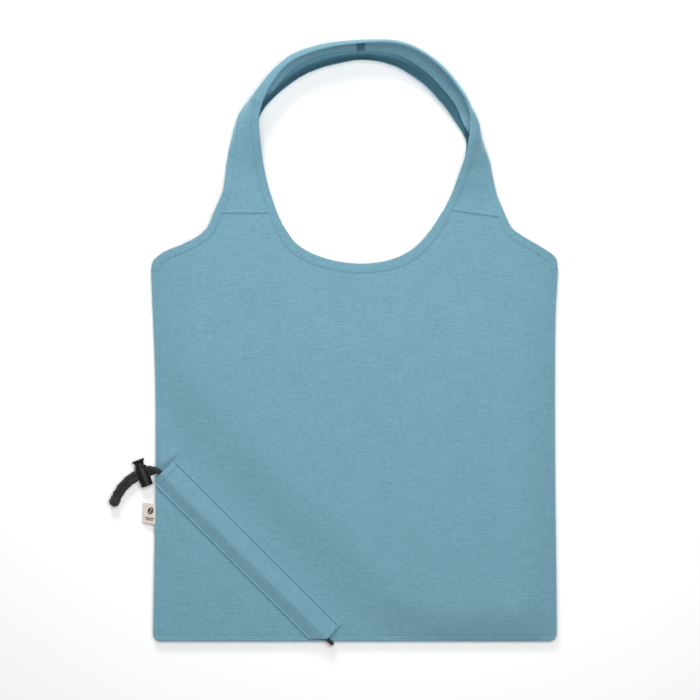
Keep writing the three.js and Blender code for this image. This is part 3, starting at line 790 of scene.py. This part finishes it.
def near_mouth(x, y):
    """Small gathers that run square to the neckline and the armholes, from the binding's stitches."""
    spots = pairs(x, y)
    away = np.full(x.shape, FAR)
    high = y > BOUND_FROM
    for stretch in (ARMHOLE_LEFT, NECK, ARMHOLE_RIGHT):
        edge = catmull_rom(stretch, np.linspace(0, len(stretch) - 1, 90))
        gaps = np.linalg.norm(spots[high][:, None] - edge[None], axis=2).min(1)
        away[high] = np.minimum(away[high], gaps)
    return ripple(spots, GATHER_LONG, 11) * GATHER_RISE * np.exp(-((away / GATHER_REACH) ** 2))


def drape(x, y):
    """The gentle unevenness of cloth that has been folded and laid out again."""
    spots = pairs(x, y)
    return ripple(spots, 46, 3) * 0.75 + ripple(spots, 17, 10) * 0.2


def by_mouth(x, y):
    """The cloth stands up a little beside the cords and falls into the casing's mouth."""
    spots = pairs(x, y) - CASINGS
    past = CASING_FROM - spots @ DOWN_CASING
    across = spots @ OUT_OF_CORNER
    ridge = np.interp(across, (0, RIDGE_LONG), RIDGE_AWAY)
    fall = smooth(past / ridge) * np.exp(-((np.maximum(past - ridge, 0) / RIDGE_FALL) ** 2))
    beside = smooth((across + 1) / 4) * smooth((RIDGE_LONG + 8 - across) / 8)
    return RIDGE_RISE * fall * beside * smooth(inset(x, y) / 5)


def settle(x, y):
    """How freely the cloth can wave: least at its seams, not at all at the handles."""
    return (0.1 + 0.9 * puff(x, y)) * (1 - smooth((y - 380) / 25))


def front_cloth(x, y):
    rise = puff(x, y) * (BODY_RISE - MOUTH_DROP * mouth(y))
    level = FRONT_SEAM_Z + rise + drape(x, y) * settle(x, y)
    return level + grooves(x, y) + near_mouth(x, y) + by_mouth(x, y)


def back_cloth(x, y):
    loose = 0.3 * (1 + ripple(pairs(x, y), 40, 23)) * settle(x, y)
    return SEAM_Z * (1 - puff(x, y)) + BACK_LIFT * mouth(y) + loose - grooves(x, y)


# ---- Panels ----
FINE = 1.3
COARSE = 2.6
FACES = (("front", front_cloth, 1), ("back", back_cloth, -1))


def top_edge():
    """Points along a panel's top from side seam to side seam, close together by the armholes."""
    parts = []
    for k, stretch in enumerate(TOP_STRETCHES):
        step = FINE if stretch in (ARMHOLE_LEFT, ARMHOLE_RIGHT) else COARSE
        at, _ = even(stretch, step)
        parts.append(catmull_rom(stretch, at)[1 if k else 0:])
    return np.vstack(parts)


def panel_plan():
    """x and y of a panel's grid: one line up the cloth for each point of its top."""
    top = top_edge()
    wide = right_side(SIDE_TOP) - left_side(SIDE_TOP)
    along = (top[:, 0] - left_side(SIDE_TOP)) / wide
    from_side = np.minimum(along, 1 - along) * wide
    in_corner = CORNER_RADIUS * (1 - np.clip(from_side / CORNER_RADIUS, 0, 1))
    low = CORNER_RADIUS - np.sqrt(CORNER_RADIUS**2 - in_corner**2)
    shares = np.concatenate([np.linspace(0, 0.025, 18), np.linspace(0.025, 1, 150)[1:]])
    y = low[:, None] + (top[:, 1] - low)[:, None] * shares[None]
    side = np.minimum(y, SIDE_TOP)
    x = left_side(side) + (right_side(side) - left_side(side)) * along[:, None]
    return x, y


def make_panels():
    x, y = panel_plan()
    panels = {}
    for face, cloth, out in FACES:
        spots = np.stack([x, y, cloth(x, y)], -1)[::out]
        panel = cloth_grid(f"{face.capitalize()}_panel_cloth", spots, pairs(x, y)[::out], COTTON, FABRIC)
        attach(panel, "bag")
        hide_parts(f"{face}_panel")
        panels[face] = panel
    return panels


ROLL_IN = 0.75  # from the seam line to the middle of the rolled edge
ROLL_WIDE = 1.15
ROLL_TALL = 0.86


def make_seam():
    """The rolled edge round the side seams and the bottom seam, where the two panels are sewn."""
    down = np.linspace(SIDE_TOP, CORNER_RADIUS, 170)
    turn = np.radians(np.linspace(180, 270, 14)[1:-1])
    low_left, low_right = float(left_side(CORNER_RADIUS)), float(right_side(CORNER_RADIUS))
    inwards, upwards = CORNER_RADIUS * (1 + np.cos(turn)), CORNER_RADIUS * (1 + np.sin(turn))
    plan = np.vstack([
        pairs(left_side(down), down),
        pairs(low_left + inwards, upwards),
        pairs(np.linspace(low_left + CORNER_RADIUS, low_right - CORNER_RADIUS, 190), 0),
        pairs(low_right - inwards, upwards)[::-1],
        pairs(right_side(down), down)[::-1],
    ])
    ahead = np.gradient(plan, axis=0)
    ahead /= np.linalg.norm(ahead, axis=1, keepdims=True)
    inward = np.stack([-ahead[:, 1], ahead[:, 0]], -1)
    angle = np.linspace(0, 2 * np.pi, 15)
    swell = 1 + 0.12 * ripple(plan, 9, 31)
    across = ROLL_IN - ROLL_WIDE * np.cos(angle)[None] * swell[:, None]
    height = SEAM_Z + FABRIC + GAP / 2 + ROLL_TALL * np.sin(angle)[None] * swell[:, None]
    spots = np.concatenate([plan[:, None] + inward[:, None] * across[..., None], height[..., None]], -1)
    seam = cloth_grid("Side_and_bottom_seam", spots, pairs(angle[None], run_along(plan)[:, None]), COTTON)
    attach(seam, "bag")
    return seam


# ---- Stitches ----
STITCH = 3.1
CASING_STITCH = 2.7
STITCH_LONG = 2.45
THREAD_THICK = 0.42
# A stitch from end to end: places along it, its thickness there, and how far it stands up.
STATIONS = np.array([-0.5, -0.44, -0.25, 0.0, 0.25, 0.44, 0.5]) * STITCH_LONG
THICKNESS = np.array([0.15, 0.65, 0.95, 1.0, 0.95, 0.65, 0.15]) * THREAD_THICK / 2
RAISED = np.array([-0.16, 0.0, 0.1, 0.13, 0.1, 0.0, -0.16])
UNEVEN = 0.12


def stitches(name, path, ups, pitch=STITCH):
    """A row of lockstitches lying on a surface along a path, all one piece."""
    path = np.asarray(path, float)
    ups = np.broadcast_to(np.asarray(ups, float), path.shape)
    run = run_along(path)
    angle = angles_round(7)
    verts, faces, uvs = [], [], []
    for k in range(int(run[-1] / pitch)):
        at = (k + 0.5) * pitch + STATIONS + (UNEVEN if k % 2 else -UNEVEN)
        middle = spots_at(at, run, path)
        up = spots_at(at, run, ups)
        up /= np.linalg.norm(up, axis=1, keepdims=True)
        side = np.cross(np.gradient(middle, axis=0), up)
        side /= np.linalg.norm(side, axis=1, keepdims=True)
        raised = middle[:, None] + up[:, None] * RAISED[:, None, None]
        spots = raised + rings(side, up, angle) * THICKNESS[:, None, None]
        faces += grid_faces(len(STATIONS), len(angle), around=True, base=len(verts))
        verts += list(framed(spots.reshape(-1, 3)))
        uvs += [(a / 1000, d / 1000) for d in at for a in angle]
    return mesh_object(name, verts, faces, THREAD, uvs)


# ---- Binding ----
# Its section, as reach in from the cloth's edge and height out of the cloth's face: it lies on
# the face, turns over the edge and comes back on the other side.
TAPE_SECTION = np.array([
    (8.3, -0.12), (8.22, 0.25), (7.9, 0.44), (7.2, 0.36), (6.4, 0.5), (4.6, 0.54), (2.8, 0.5),
    (1.2, 0.5), (0.35, 0.36), (-0.1, 0.02), (-0.2, -0.3), (-0.05, -0.66), (0.5, -0.94),
    (1.5, -1.05), (4, -1.0), (8.1, -0.9),
])
TURNED_UNDER = 9  # the section's first point that is out of sight under the edge
STITCH_REACH = 7.15


def bias(uvs):
    """Cloth cut at 45 degrees to its threads."""
    return np.stack([uvs[..., 0] - uvs[..., 1], uvs[..., 0] + uvs[..., 1]], -1) / math.sqrt(2)


def tape(name, place, run, flip, wide=1.0, seed=0, painted_shade_under=None):
    """Binding along an edge. place(reach, height) gives points for one row per station of run."""
    reach = TAPE_SECTION[None, :, 0] * np.ones((len(run), 1))
    height = TAPE_SECTION[None, :, 1] * np.ones((len(run), 1))
    where = pairs(run[:, None], reach * 0.5)
    gathers = ripple(where, 3.4, seed) * 0.13 + ripple(where, 9, seed + 5) * 0.1
    reach = np.where(reach > 3, reach * np.asarray(wide).reshape(-1, 1), reach)
    height = height + np.where(height > 0, gathers, 0)
    reach = reach + ripple(where, 14, seed + 9) * 0.14
    spots = place(reach, height)
    uvs = bias(pairs(reach, run[:, None]))
    uvs[:, TURNED_UNDER:] += 1.7
    if flip:
        spots, uvs = spots[::-1], uvs[::-1]
    made = cloth_grid(name, spots, uvs, COTTON_TAPE)
    # The turned-under faces take the painted-shade cloth when one is given.
    if painted_shade_under:
        made.data.materials.append(painted_shade_under)
        under = np.arange(len(made.data.polygons)) % (len(TAPE_SECTION) - 1) >= TURNED_UNDER
        made.data.polygons.foreach_set("material_index", under.astype(int))
    return made


TAPE_STEP = 1.1
LEFT_SEAM_HEADING = 180.0
NECK_TAPE, ARMHOLE_TAPE = 1.12, 0.97  # widths beside the section's


def edge_place(stretch, first, last, cloth, out):
    """place() for a neckline or armhole, the run along it, and each station's way to a shoulder seam.

    first and last are the way the binding's width points at either end, or None at a side seam."""
    at, run = even(stretch, TAPE_STEP)
    edge = catmull_rom(stretch, at)
    ahead = np.gradient(edge, axis=0)
    inward = np.stack([ahead[:, 1], -ahead[:, 0]], -1)
    inward /= np.linalg.norm(inward, axis=1, keepdims=True)
    away = np.full(len(run), FAR)
    for heading, distance in ((first, run), (last, run[-1] - run)):
        if heading is not None:
            turn = smooth(1 - distance / 13)[:, None]
            inward = inward * (1 - turn) + facing(heading) * turn
            away = np.minimum(away, distance)
    inward /= np.linalg.norm(inward, axis=1, keepdims=True)

    def place(reach, height):
        plan = edge[:, None] + inward[:, None] * reach[..., None]
        x, y = plan[..., 0], plan[..., 1]
        room = (front_cloth(x, y) - back_cloth(x, y)) / 2
        z = cloth(x, y) + out * np.maximum(height, 0.05 - room)
        return np.stack([x, y, z], -1)

    return place, run, away


def make_edge_bindings():
    pieces = {"front": [], "back": []}
    left, right = LEFT_SEAM_HEADING, RIGHT_SEAM_HEADING
    edges = (
        ("Neck_binding", "neck_binding", NECK, left, right, NECK_TAPE),
        ("Left_armhole_binding", "armhole_binding_left", ARMHOLE_LEFT, None, left + 180, ARMHOLE_TAPE),
        ("Right_armhole_binding", "armhole_binding_right", ARMHOLE_RIGHT, right + 180, None, ARMHOLE_TAPE),
    )
    for face, cloth, out in FACES:
        for k, (title, node, stretch, first, last, wide) in enumerate(edges):
            place, run, away = edge_place(stretch, first, last, cloth, out)
            widths = 1 + (wide - 1) * smooth(away / 25)
            piece = tape(f"{title}_{face}", place, run, flip=out < 0, wide=widths, seed=40 + 3 * k + out)
            row = place(STITCH_REACH * widths[:, None], np.full((len(run), 1), 0.4))[:, 0]
            sewing = stitches(f"{title}_{face}_stitches", row, (0, 0, out))
            for obj in (piece, sewing):
                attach(obj, "bag")
                pieces[face].append(obj)
            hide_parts(f"{node}_{face}")
    return pieces


# ---- Handles ----
SECTION_STEPS = 24
ACROSS_STEPS = 24
FRONT_SEED, BACK_SEED = 61, 83
SLACK = 0.5
# The front handle's crease: the row it is at, its height, and how many rows each side of it takes.
CREASE_ROW = 4.42
CREASE_RISE = 4.6
CREASE_LONG = 0.34
CREASE_STEEP = 0.1


def strap_surface(rows, bunch, seed):
    """The strap as a function of row, distance from its inner edge and lift, and its width there."""
    rows = np.asarray(rows, float)
    last = len(rows) - 1

    def width(s):
        steady = catmull_rom(np.repeat(rows[:, 4:5], 3, axis=1), s)[..., 0]
        loose = smooth(s / 2.5) * smooth((last - s) / 2.5)
        return steady + ripple(pairs(s * 1.7, 0), 1.0, seed) * 0.7 * loose

    def surface(s, distance, lift):
        s, distance, lift = np.broadcast_arrays(s, distance, lift)
        edge = catmull_rom(rows[:, [0, 1, 2]], s)
        heading, start, curl = np.radians(np.moveaxis(catmull_rom(rows[:, [3, 5, 6]], s), -1, 0))
        wide = width(s)
        out = np.zeros(s.shape)
        up = np.zeros(s.shape)
        for k in range(SECTION_STEPS):
            share = np.clip(distance * (k + 0.5) / SECTION_STEPS / wide, 0, 1)
            slope = start + curl * share**bunch
            out += np.cos(slope) * distance / SECTION_STEPS
            up += np.sin(slope) * distance / SECTION_STEPS
        tilt = start + curl * np.clip(distance / wide, 0, 1) ** bunch
        loose = smooth(s / 2) * smooth((last - s) / 2)
        place = pairs(s * 9, distance / 3)
        waves = ripple(place, 5.5, seed + 3) * 0.4 + ripple(place, 2.0, seed + 5) * 0.12
        lift = lift + (waves + SLACK) * loose
        if seed == FRONT_SEED:
            past = (s - CREASE_ROW) / np.where(s < CREASE_ROW, CREASE_STEEP, CREASE_LONG)
            facing_up = np.clip(np.cos(tilt), 0, 1)
            lift = lift + CREASE_RISE * np.exp(-np.abs(past)) * smooth(distance / 5) * facing_up
        across = out - lift * np.sin(tilt)
        return np.stack([
            edge[..., 0] + across * np.cos(heading),
            edge[..., 1] + across * np.sin(heading),
            edge[..., 2] + up + lift * np.cos(tilt),
        ], -1)

    return surface, width


def fold_with(obj):
    """Bakes a piece's placement into its mesh."""
    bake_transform(obj)


def handle_halves(face, surface, width, at, run, top_row, out):
    """The handle's cloth from the left shoulder seam to the top of the loop, and on to the right."""
    halves = []
    for side, from_row, to_row in (("left", 0, top_row), ("right", top_row, at[-1])):
        inside = (at >= from_row - 1e-9) & (at <= to_row + 1e-9)
        s = np.unique(np.concatenate([[from_row], at[inside], [to_row]]))[:, None]
        distance = width(s) * np.linspace(0, 1, ACROSS_STEPS + 1)[None]
        spots = surface(s, distance, FABRIC if out > 0 else 0.0)
        uvs = pairs(distance, np.interp(s, at, run) + (300 if side == "right" else 0))
        name = f"{face.capitalize()}_handle_{side}"
        # The back handle's upper face is painted-shade cotton. Plain cotton goes on its solidified other side
        # and rims.
        half = cloth_grid(name, spots, uvs, COTTON if out > 0 else COTTON_PAINTED_SHADE, FABRIC)
        if out < 0:
            half.data.materials.append(COTTON)
            half.modifiers["Thickness"].material_offset = 1
            half.modifiers["Thickness"].material_offset_rim = 1
        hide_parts(f"{face}_strap_{side}")
        halves.append(half)
    return halves


def handle_bindings(face, surface, width, at, run, seed, out):
    """The binding and its stitches along the handle's inner edge, then along its outer edge."""
    s = at[:, None]
    trim = []
    for edge, far_edge in (("inner", 0), ("outer", 1)):
        def place(reach, height, far_edge=far_edge):
            distance = width(s) - reach if far_edge else reach
            return surface(s, distance, out * (FABRIC + height))
        title = f"{face.capitalize()}_handle_{edge}"
        flip = (edge == "inner") != (out < 0)
        # The back handle's bindings are painted-shade cotton where they turn over onto its upper face.
        painted_shade_under = None if out > 0 else COTTON_PAINTED_SHADE
        binding = tape(f"{title}_binding", place, run, flip, seed=seed + 20 + far_edge, painted_shade_under=painted_shade_under)
        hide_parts(f"{face}_strap_{edge}_binding")
        row, above = (place(np.full(s.shape, STITCH_REACH), np.full(s.shape, h))[:, 0] for h in (0.4, 1.4))
        trim += [binding, stitches(f"{title}_stitches", row, above - row)]
    return trim


JOIN_HALF = 0.1  # of a row either side of the top
JOIN_RIM = np.array([0, 0.5, 0.62, 0.6, 0.55, 0.5, 0.05, 0.5, 0.55, 0.6, 0.62, 0.5, 0])[:, None]


def top_seam(face, surface, width, top_row, out):
    """The seam that joins a handle's two halves at its top: an open seam pressed flat."""
    s = top_row + np.linspace(-1, 1, len(JOIN_RIM))[:, None] * JOIN_HALF
    distance = width(s) * np.linspace(0, 1, 22)[None]
    spots = surface(s, distance, -out * (0.62 + 0.3 * JOIN_RIM))
    # The front top seam's darker overlock thread and the back seam's darker cotton are both painted shade.
    material = OVERLOCK_PAINTED_SHADE if out > 0 else COTTON_PAINTED_SHADE
    return cloth_grid(f"{face.capitalize()}_handle_top_seam", spots, bias(pairs(distance, s * 40)), material)


def make_handle(face, rows, bunch, seed, out):
    surface, width = strap_surface(rows, bunch, seed)
    top_row = next(k for k, row in enumerate(rows) if row[3] == 90)
    at, run = even(np.asarray(rows, float)[:, :3], 1.6)
    halves = handle_halves(face, surface, width, at, run, top_row, out)
    trim = handle_bindings(face, surface, width, at, run, seed, out)
    trim.append(top_seam(face, surface, width, top_row, out))
    for obj in halves + trim:
        fold_with(obj)
    return halves, trim


# ---- Shoulder seams ----
# Its section, as place across the seam line towards the handle and height out of the cloth.
SHOULDER_SECTION = np.array([
    (-0.9, -0.2), (-0.75, 0.15), (-0.55, 0.75), (0.1, 0.95), (0.9, 0.75), (1.6, 0.25), (1.9, -0.1),
])
CLEAR_OF_BINDING = 7.5
SHOULDER_STITCH_IN = 1.9


def make_shoulder_seams():
    """The turned seam that joins each handle to its panel."""
    pieces = {"front": [], "back": []}
    for side, ends in (("Left", SHOULDER_LEFT), ("Right", SHOULDER_RIGHT)):
        start, end = np.array(ends)
        length = np.linalg.norm(end - start)
        ahead = (end - start) / length
        normal = np.array([-ahead[1], ahead[0]])
        run = np.linspace(CLEAR_OF_BINDING, length - CLEAR_OF_BINDING, 50)
        for face, cloth, out in FACES:
            plan = start + ahead * run[:, None]
            across = SHOULDER_SECTION[None, :, 0] + (ripple(pairs(run, 0), 4, 17) * 0.18)[:, None]
            swell = 1 + 0.25 * ripple(pairs(run, 0), 3, 19)
            x, y = np.moveaxis(plan[:, None] + normal * across[..., None], -1, 0)
            z = cloth(x, np.minimum(y, FOLD_Y)) + out * SHOULDER_SECTION[None, :, 1] * swell[:, None]
            spots, uvs = np.stack([x, y, z], -1), pairs(across, run[:, None])
            lip = cloth_grid(f"{side}_shoulder_seam_{face}", spots[::out], uvs[::out], COTTON)
            line = plan - normal * SHOULDER_STITCH_IN
            row = np.column_stack([line, cloth(line[:, 0], line[:, 1]) + out * 0.05])
            sewing = stitches(f"{side}_shoulder_stitches_{face}", row, (0, 0, out))
            for obj in (lip, sewing):
                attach(obj, "bag")
                pieces[face].append(obj)
    return pieces


# ---- Casings ----
TUNNEL_LOW = 10.4
TUNNEL_HIGH = 14.5
TUNNEL_RISE = 4.9
EDGE_RISE = 1.5
STITCH_IN = 2.7


def casing_height(w, along):
    """Height of a casing's outer face over the seam level: rolled edges, valleys and a tunnel."""
    from_edge = np.minimum(w - CASING_LOW, CASING_HIGH - w)
    roll = EDGE_RISE * np.sin(np.pi * np.clip((from_edge + 0.15) / (STITCH_IN + 0.15), 0, 1))
    valley = 0.3 * smooth((from_edge - 0.3) / 0.6)
    tunnel_half = np.where(w < 0, TUNNEL_LOW, TUNNEL_HIGH)
    tunnel = TUNNEL_RISE * (1 - (np.sqrt(w**2 + 4) - 2) / tunnel_half).clip(0)
    place = pairs(along, w)
    loose = np.clip(from_edge / 4, 0, 1)
    waves = (0.25 * ripple(place, 15, 71) + 0.1 * ripple(place, 6, 77)) * loose
    pucker = 0.14 * ripple(pairs(along, w * 0.25), 2.6, 79) * np.exp(-(from_edge / 4) ** 2)
    return roll + valley + tunnel + waves + pucker


def casing_spots(along, w, out, lift=0.0):
    """Points on a casing's outer face: along and across the cord's line, away from the corner."""
    height = casing_height(w, along) + lift
    z = FRONT_SEAM_Z + height if out > 0 else SEAM_Z - height
    plan = CASINGS + along[..., None] * DOWN_CASING + w[..., None] * OUT_OF_CORNER
    return np.concatenate([plan, z[..., None]], -1)


SEAM_CUT = -114.9
HEM_CUT = 115.2
MOUTH_HEM = 7.0
HEM_RISE = 0.35
CASING_ROLL = 3.0


def casing_ends(w):
    """Where a casing starts and ends along the cord's line: square, and cut off by the seams."""
    return np.maximum(CASING_FROM, SEAM_CUT - w), np.minimum(CASING_TO, HEM_CUT + w)


def casing_rows(face, out):
    """The stitches along a casing's two long edges, and across the hem of its mouth."""
    title = f"{face.capitalize()}_casing"
    rows = []
    for edge, across in (("lower", CASING_LOW + STITCH_IN), ("upper", CASING_HIGH - STITCH_IN)):
        first, last = casing_ends(across)
        path = casing_spots(np.linspace(first + 1, last - 1, 160), np.full(160, across), out, 0.12)
        rows.append(stitches(f"{title}_{edge}_stitches", path, (0, 0, out), CASING_STITCH))
    w = np.linspace(CASING_LOW + CASING_ROLL, CASING_HIGH - CASING_ROLL, 60)
    path = casing_spots(casing_ends(w)[0] + MOUTH_HEM - 1.2, w, out, HEM_RISE + 0.1)
    rows.append(stitches(f"{title}_mouth_stitches", path, (0, 0, out), CASING_STITCH))
    return rows


def make_casings():
    low, high = CASING_LOW, CASING_HIGH
    w = np.concatenate([
        np.linspace(low, low + CASING_ROLL, 9),
        np.linspace(low + CASING_ROLL, high - CASING_ROLL, 40)[1:-1],
        np.linspace(high - CASING_ROLL, high, 9),
    ])
    share = np.concatenate([np.linspace(0, 0.05, 22), np.linspace(0.05, 1, 150)[1:]])[:, None]
    first, last = casing_ends(w)
    run = (last - first) * share
    along, wide = first + run, np.broadcast_to(w, run.shape)
    hem = HEM_RISE * smooth(run / 0.5) * (1 - smooth((run - MOUTH_HEM) / 0.8))
    uvs = pairs(wide, along + 700)
    for face, _, out in FACES:
        spots = casing_spots(along, wide, out, hem)
        casing = cloth_grid(f"{face.capitalize()}_casing_cloth", spots[::out], uvs[::out], COTTON, TAPE)
        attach(casing, "bag")
        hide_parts(f"{face}_casing")
        rows = casing_rows(face, out)
        for row in rows:
            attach(row, "bag")


# ---- Cord lock ----
LOCK_RADIUS = 5.65
BUTTON_RADIUS = 6.05
BUTTON_TRAVEL = 3.0
RIM = 6.6
BARREL_END = -13.2
BORE = 4.75
BORE_FLOOR = -12.0
HOLE_HALF = CORD / 2 + STRAND_OFFSET + 0.8
HOLE_TALL = 5.4
STEM = 4.4
STEM_END = -HOLE_HALF - 1.2
FLANGE = RIM + BUTTON_TRAVEL + 1.4
GROOVES = (-10.2, -9.2, 5.2)
GROOVE_HALF = 0.28
GROOVE_IN = 0.3
AXIS = 0.05  # a turned outline's innermost radius
TURNS = 72


def cut_across(obj, low, high, tall):
    """Cuts the cord's hole through a turned solid, along X."""
    corners = [(x, y, z) for x in (-15, 15) for y in (low, high) for z in (-tall / 2, tall / 2)]
    faces = [(0, 1, 3, 2), (4, 6, 7, 5), (0, 4, 5, 1), (2, 3, 7, 6), (0, 2, 6, 4), (1, 5, 7, 3)]
    cutter = mesh_object("Cutter", corners, faces, soft=False)
    rounding = cutter.modifiers.new("Round", "BEVEL")
    rounding.width = 1.1
    rounding.segments = 5
    cut = obj.modifiers.new("Cord_hole", "BOOLEAN")
    cut.operation = "DIFFERENCE"
    cut.object = cutter
    cut.solver = "EXACT"
    bpy.context.view_layer.update()
    made = bpy.data.meshes.new_from_object(obj.evaluated_get(bpy.context.evaluated_depsgraph_get()))
    obj.modifiers.clear()
    obj.data = made
    bpy.data.objects.remove(cutter)


def sharpen(obj, angle=32):
    """Smooth shading with creases at real edges."""
    obj.data.set_sharp_from_angle(angle=math.radians(angle))


def place_on_cord(obj, body, node):
    tilt = math.radians(LOCK_ANGLE - 90)
    spot = framed((LOCK_SPOT[0], LOCK_SPOT[1], LOCK_Z))
    obj.data.transform(Matrix.Translation(spot) @ Matrix.Rotation(tilt, 4, "Z") @ Matrix.Scale(0.001, 4))
    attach(obj, body)
    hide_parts(node)


def rounded(profile, radius=0.35, steps=4):
    """A profile with its inner corners cut to short arcs."""
    profile = np.asarray(profile, float)
    made = [profile[0]]
    for before, corner, after in zip(profile[:-2], profile[1:-1], profile[2:]):
        back, ahead = before - corner, after - corner
        far_back, far_ahead = np.linalg.norm(back), np.linalg.norm(ahead)
        reach = min(radius, far_back * 0.45, far_ahead * 0.45)
        start, end = corner + back / far_back * reach, corner + ahead / far_ahead * reach
        for t in np.linspace(0, 1, steps):
            made.append(start * (1 - t) ** 2 + corner * 2 * t * (1 - t) + end * t * t)
    made.append(profile[-1])
    return made


def make_barrel():
    """The lock's barrel: three fine grooves round it, and a bore for the button."""
    wall = [(AXIS, BARREL_END), (LOCK_RADIUS - 0.6, BARREL_END), (LOCK_RADIUS, BARREL_END + 0.6)]
    for y in GROOVES:
        wall += [
            (LOCK_RADIUS, y - GROOVE_HALF),
            (LOCK_RADIUS - GROOVE_IN, y),
            (LOCK_RADIUS, y + GROOVE_HALF),
        ]
    wall += [(LOCK_RADIUS, RIM - 0.5), (LOCK_RADIUS - 0.5, RIM)]
    wall += [(BORE, RIM), (BORE, BORE_FLOOR), (AXIS, BORE_FLOOR)]
    barrel = lathe("Cord_lock_barrel_body", rounded(wall, 0.22), TURNS, PLASTIC)
    cut_across(barrel, -HOLE_HALF, HOLE_HALF, HOLE_TALL)
    sharpen(barrel)
    place_on_cord(barrel, "cord_lock", "cord_lock_barrel")


def make_button():
    """The lock's button: a stem in the bore, and a head with a dished top."""
    stem = [(AXIS, STEM_END), (STEM, STEM_END), (STEM, FLANGE - 1.2)]
    side = [(5.2, FLANGE), (BUTTON_RADIUS, FLANGE + 0.4), (BUTTON_RADIUS, FLANGE + 1.5)]
    top = [(5.5, FLANGE + 2), (4.1, FLANGE + 2), (3.6, FLANGE + 1.6), (AXIS, FLANGE + 1.45)]
    button = lathe("Cord_lock_push_button", rounded(stem + side + top, 0.3), TURNS, PLASTIC)
    cut_across(button, -HOLE_HALF, HOLE_HALF + BUTTON_TRAVEL, HOLE_TALL)
    sharpen(button)
    place_on_cord(button, "cord_lock_press", "cord_lock_button")


SPRING_WIRE = 0.6
SPRING_RADIUS = 3.4
SPRING_COILS = 3.5
WIRE_SIDES = 14


def make_spring():
    """A compression spring with closed ends, between the bore's floor and the stem."""
    low = BORE_FLOOR + GAP + SPRING_WIRE / 2
    high = STEM_END - GAP - SPRING_WIRE / 2
    t = np.linspace(0, 1, 170)
    turn = t * SPRING_COILS * 2 * np.pi
    rise = np.where(t < 0.2, t * 0.35, np.where(t > 0.8, 1 - (1 - t) * 0.35, 0.07 + (t - 0.2) / 0.6 * 0.86))
    x, z = SPRING_RADIUS * np.cos(turn), SPRING_RADIUS * np.sin(turn)
    path = np.stack([x, low + (high - low) * rise, z], -1)
    _, side, up = frames_along(path)
    spots = path[:, None] + rings(side, up, angles_round(WIRE_SIDES)) * SPRING_WIRE / 2
    faces = grid_faces(len(path), WIRE_SIDES, around=True) + end_caps(len(path), WIRE_SIDES)
    spring = mesh_object("Cord_lock_coil_spring", spots.reshape(-1, 3), faces, STEEL)
    place_on_cord(spring, "cord_lock", "cord_lock_spring")


# ---- Side label ----
LABEL_OUT = 12.4
LABEL_TALL = 19.4
LABEL_Y = 119.8
LABEL_DROP = 3.4
LAYER = 0.32
LABEL_TAPE_THICK = 0.24


def label_spots(u, v, height):
    """Points on the label, u out from the seam and v up it, at a height off its middle."""
    share = u / LABEL_OUT
    droop = smooth(share) * LABEL_DROP
    bow = 0.35 * np.sin(v / LABEL_TALL * 2 + 0.7) * share
    x = float(left_side(LABEL_Y)) - 0.2 - u + share * v / LABEL_TALL
    z = SEAM_Z + FABRIC + GAP / 2 - droop + bow + height
    return np.stack(np.broadcast_arrays(x, LABEL_Y + v + share * 1.2, z), -1)


def make_label():
    layer = np.linspace(-0.3, LABEL_OUT - LAYER, 26)
    turn = np.radians(np.linspace(90, -90, 12)[1:-1])
    fold = pairs(LABEL_OUT - LAYER + LAYER * np.cos(turn), LAYER * np.sin(turn))
    section = np.vstack([pairs(layer, LAYER), fold, pairs(layer[::-1], -LAYER)])
    u, height = section.T
    v = np.linspace(-LABEL_TALL / 2, LABEL_TALL / 2, 34)
    spots = label_spots(u[:, None], v[None], height[:, None])
    uvs = pairs(v[None], run_along(section)[:, None])
    label = cloth_grid("Woven_side_label", spots[::-1], uvs[::-1], LABEL_TAPE, LABEL_TAPE_THICK)
    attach(label, "label")
    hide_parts("side_label")
    printed = make_label_print()


PRINT_CENTRE = 4.8  # from the seam
LEAF_HALF = 2.6
LEAF_LONG = 8.0
LEAF_UP = 2.8
LEAF_TILT = math.radians(28)
INK_UP = 0.035
BAR_THICK = 0.95
BARS = ((-4.1, 1.2, 10.2), (-5.8, 2.4, 9.0))  # height on the label, and where it starts and ends


def make_label_print():
    """A plain leaf over two plain bars."""
    patches = []
    length, breadth = np.meshgrid(np.linspace(0, 1, 15), np.linspace(0, 1, 6), indexing="ij")
    lengthwise = (length - 0.5) * LEAF_LONG
    cosine, sine = math.cos(LEAF_TILT), math.sin(LEAF_TILT)
    for half in (-1, 1):
        side = half * (0.2 + breadth * LEAF_HALF * np.sin(np.pi * length) ** 0.75)
        out = PRINT_CENTRE + side * cosine - lengthwise * sine
        patches.append((out, LEAF_UP + side * sine + lengthwise * cosine))
    for at, first, last in BARS:
        patches.append((mix(first, last, length), at + BAR_THICK * (breadth - 0.5)))
    verts, faces, uvs = [], [], []
    for u, v in patches:
        spots = label_spots(u, v, LAYER + INK_UP)
        faces += grid_faces(*u.shape, base=len(verts))
        verts += list(framed(spots.reshape(-1, 3)))
        uvs += list(pairs(u, v).reshape(-1, 2) / 1000)
    printed = mesh_object("Label_leaf_and_bars", verts, faces, INK, uvs)
    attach(printed, "label")
    return printed


def make_bag():
    panels = make_panels()
    seam = make_seam()
    edges = make_edge_bindings()
    shoulders = make_shoulder_seams()
    handles = {
        "front": make_handle("front", FRONT_ROWS, FRONT_BUNCH, FRONT_SEED, 1),
        "back": make_handle("back", BACK_ROWS, BACK_BUNCH, BACK_SEED, -1),
    }


make_bag()
make_casings()
make_barrel()
make_button()
make_spring()
make_label()


def corners(box):
    return [[round(v, 5) for v in corner] for corner in box]
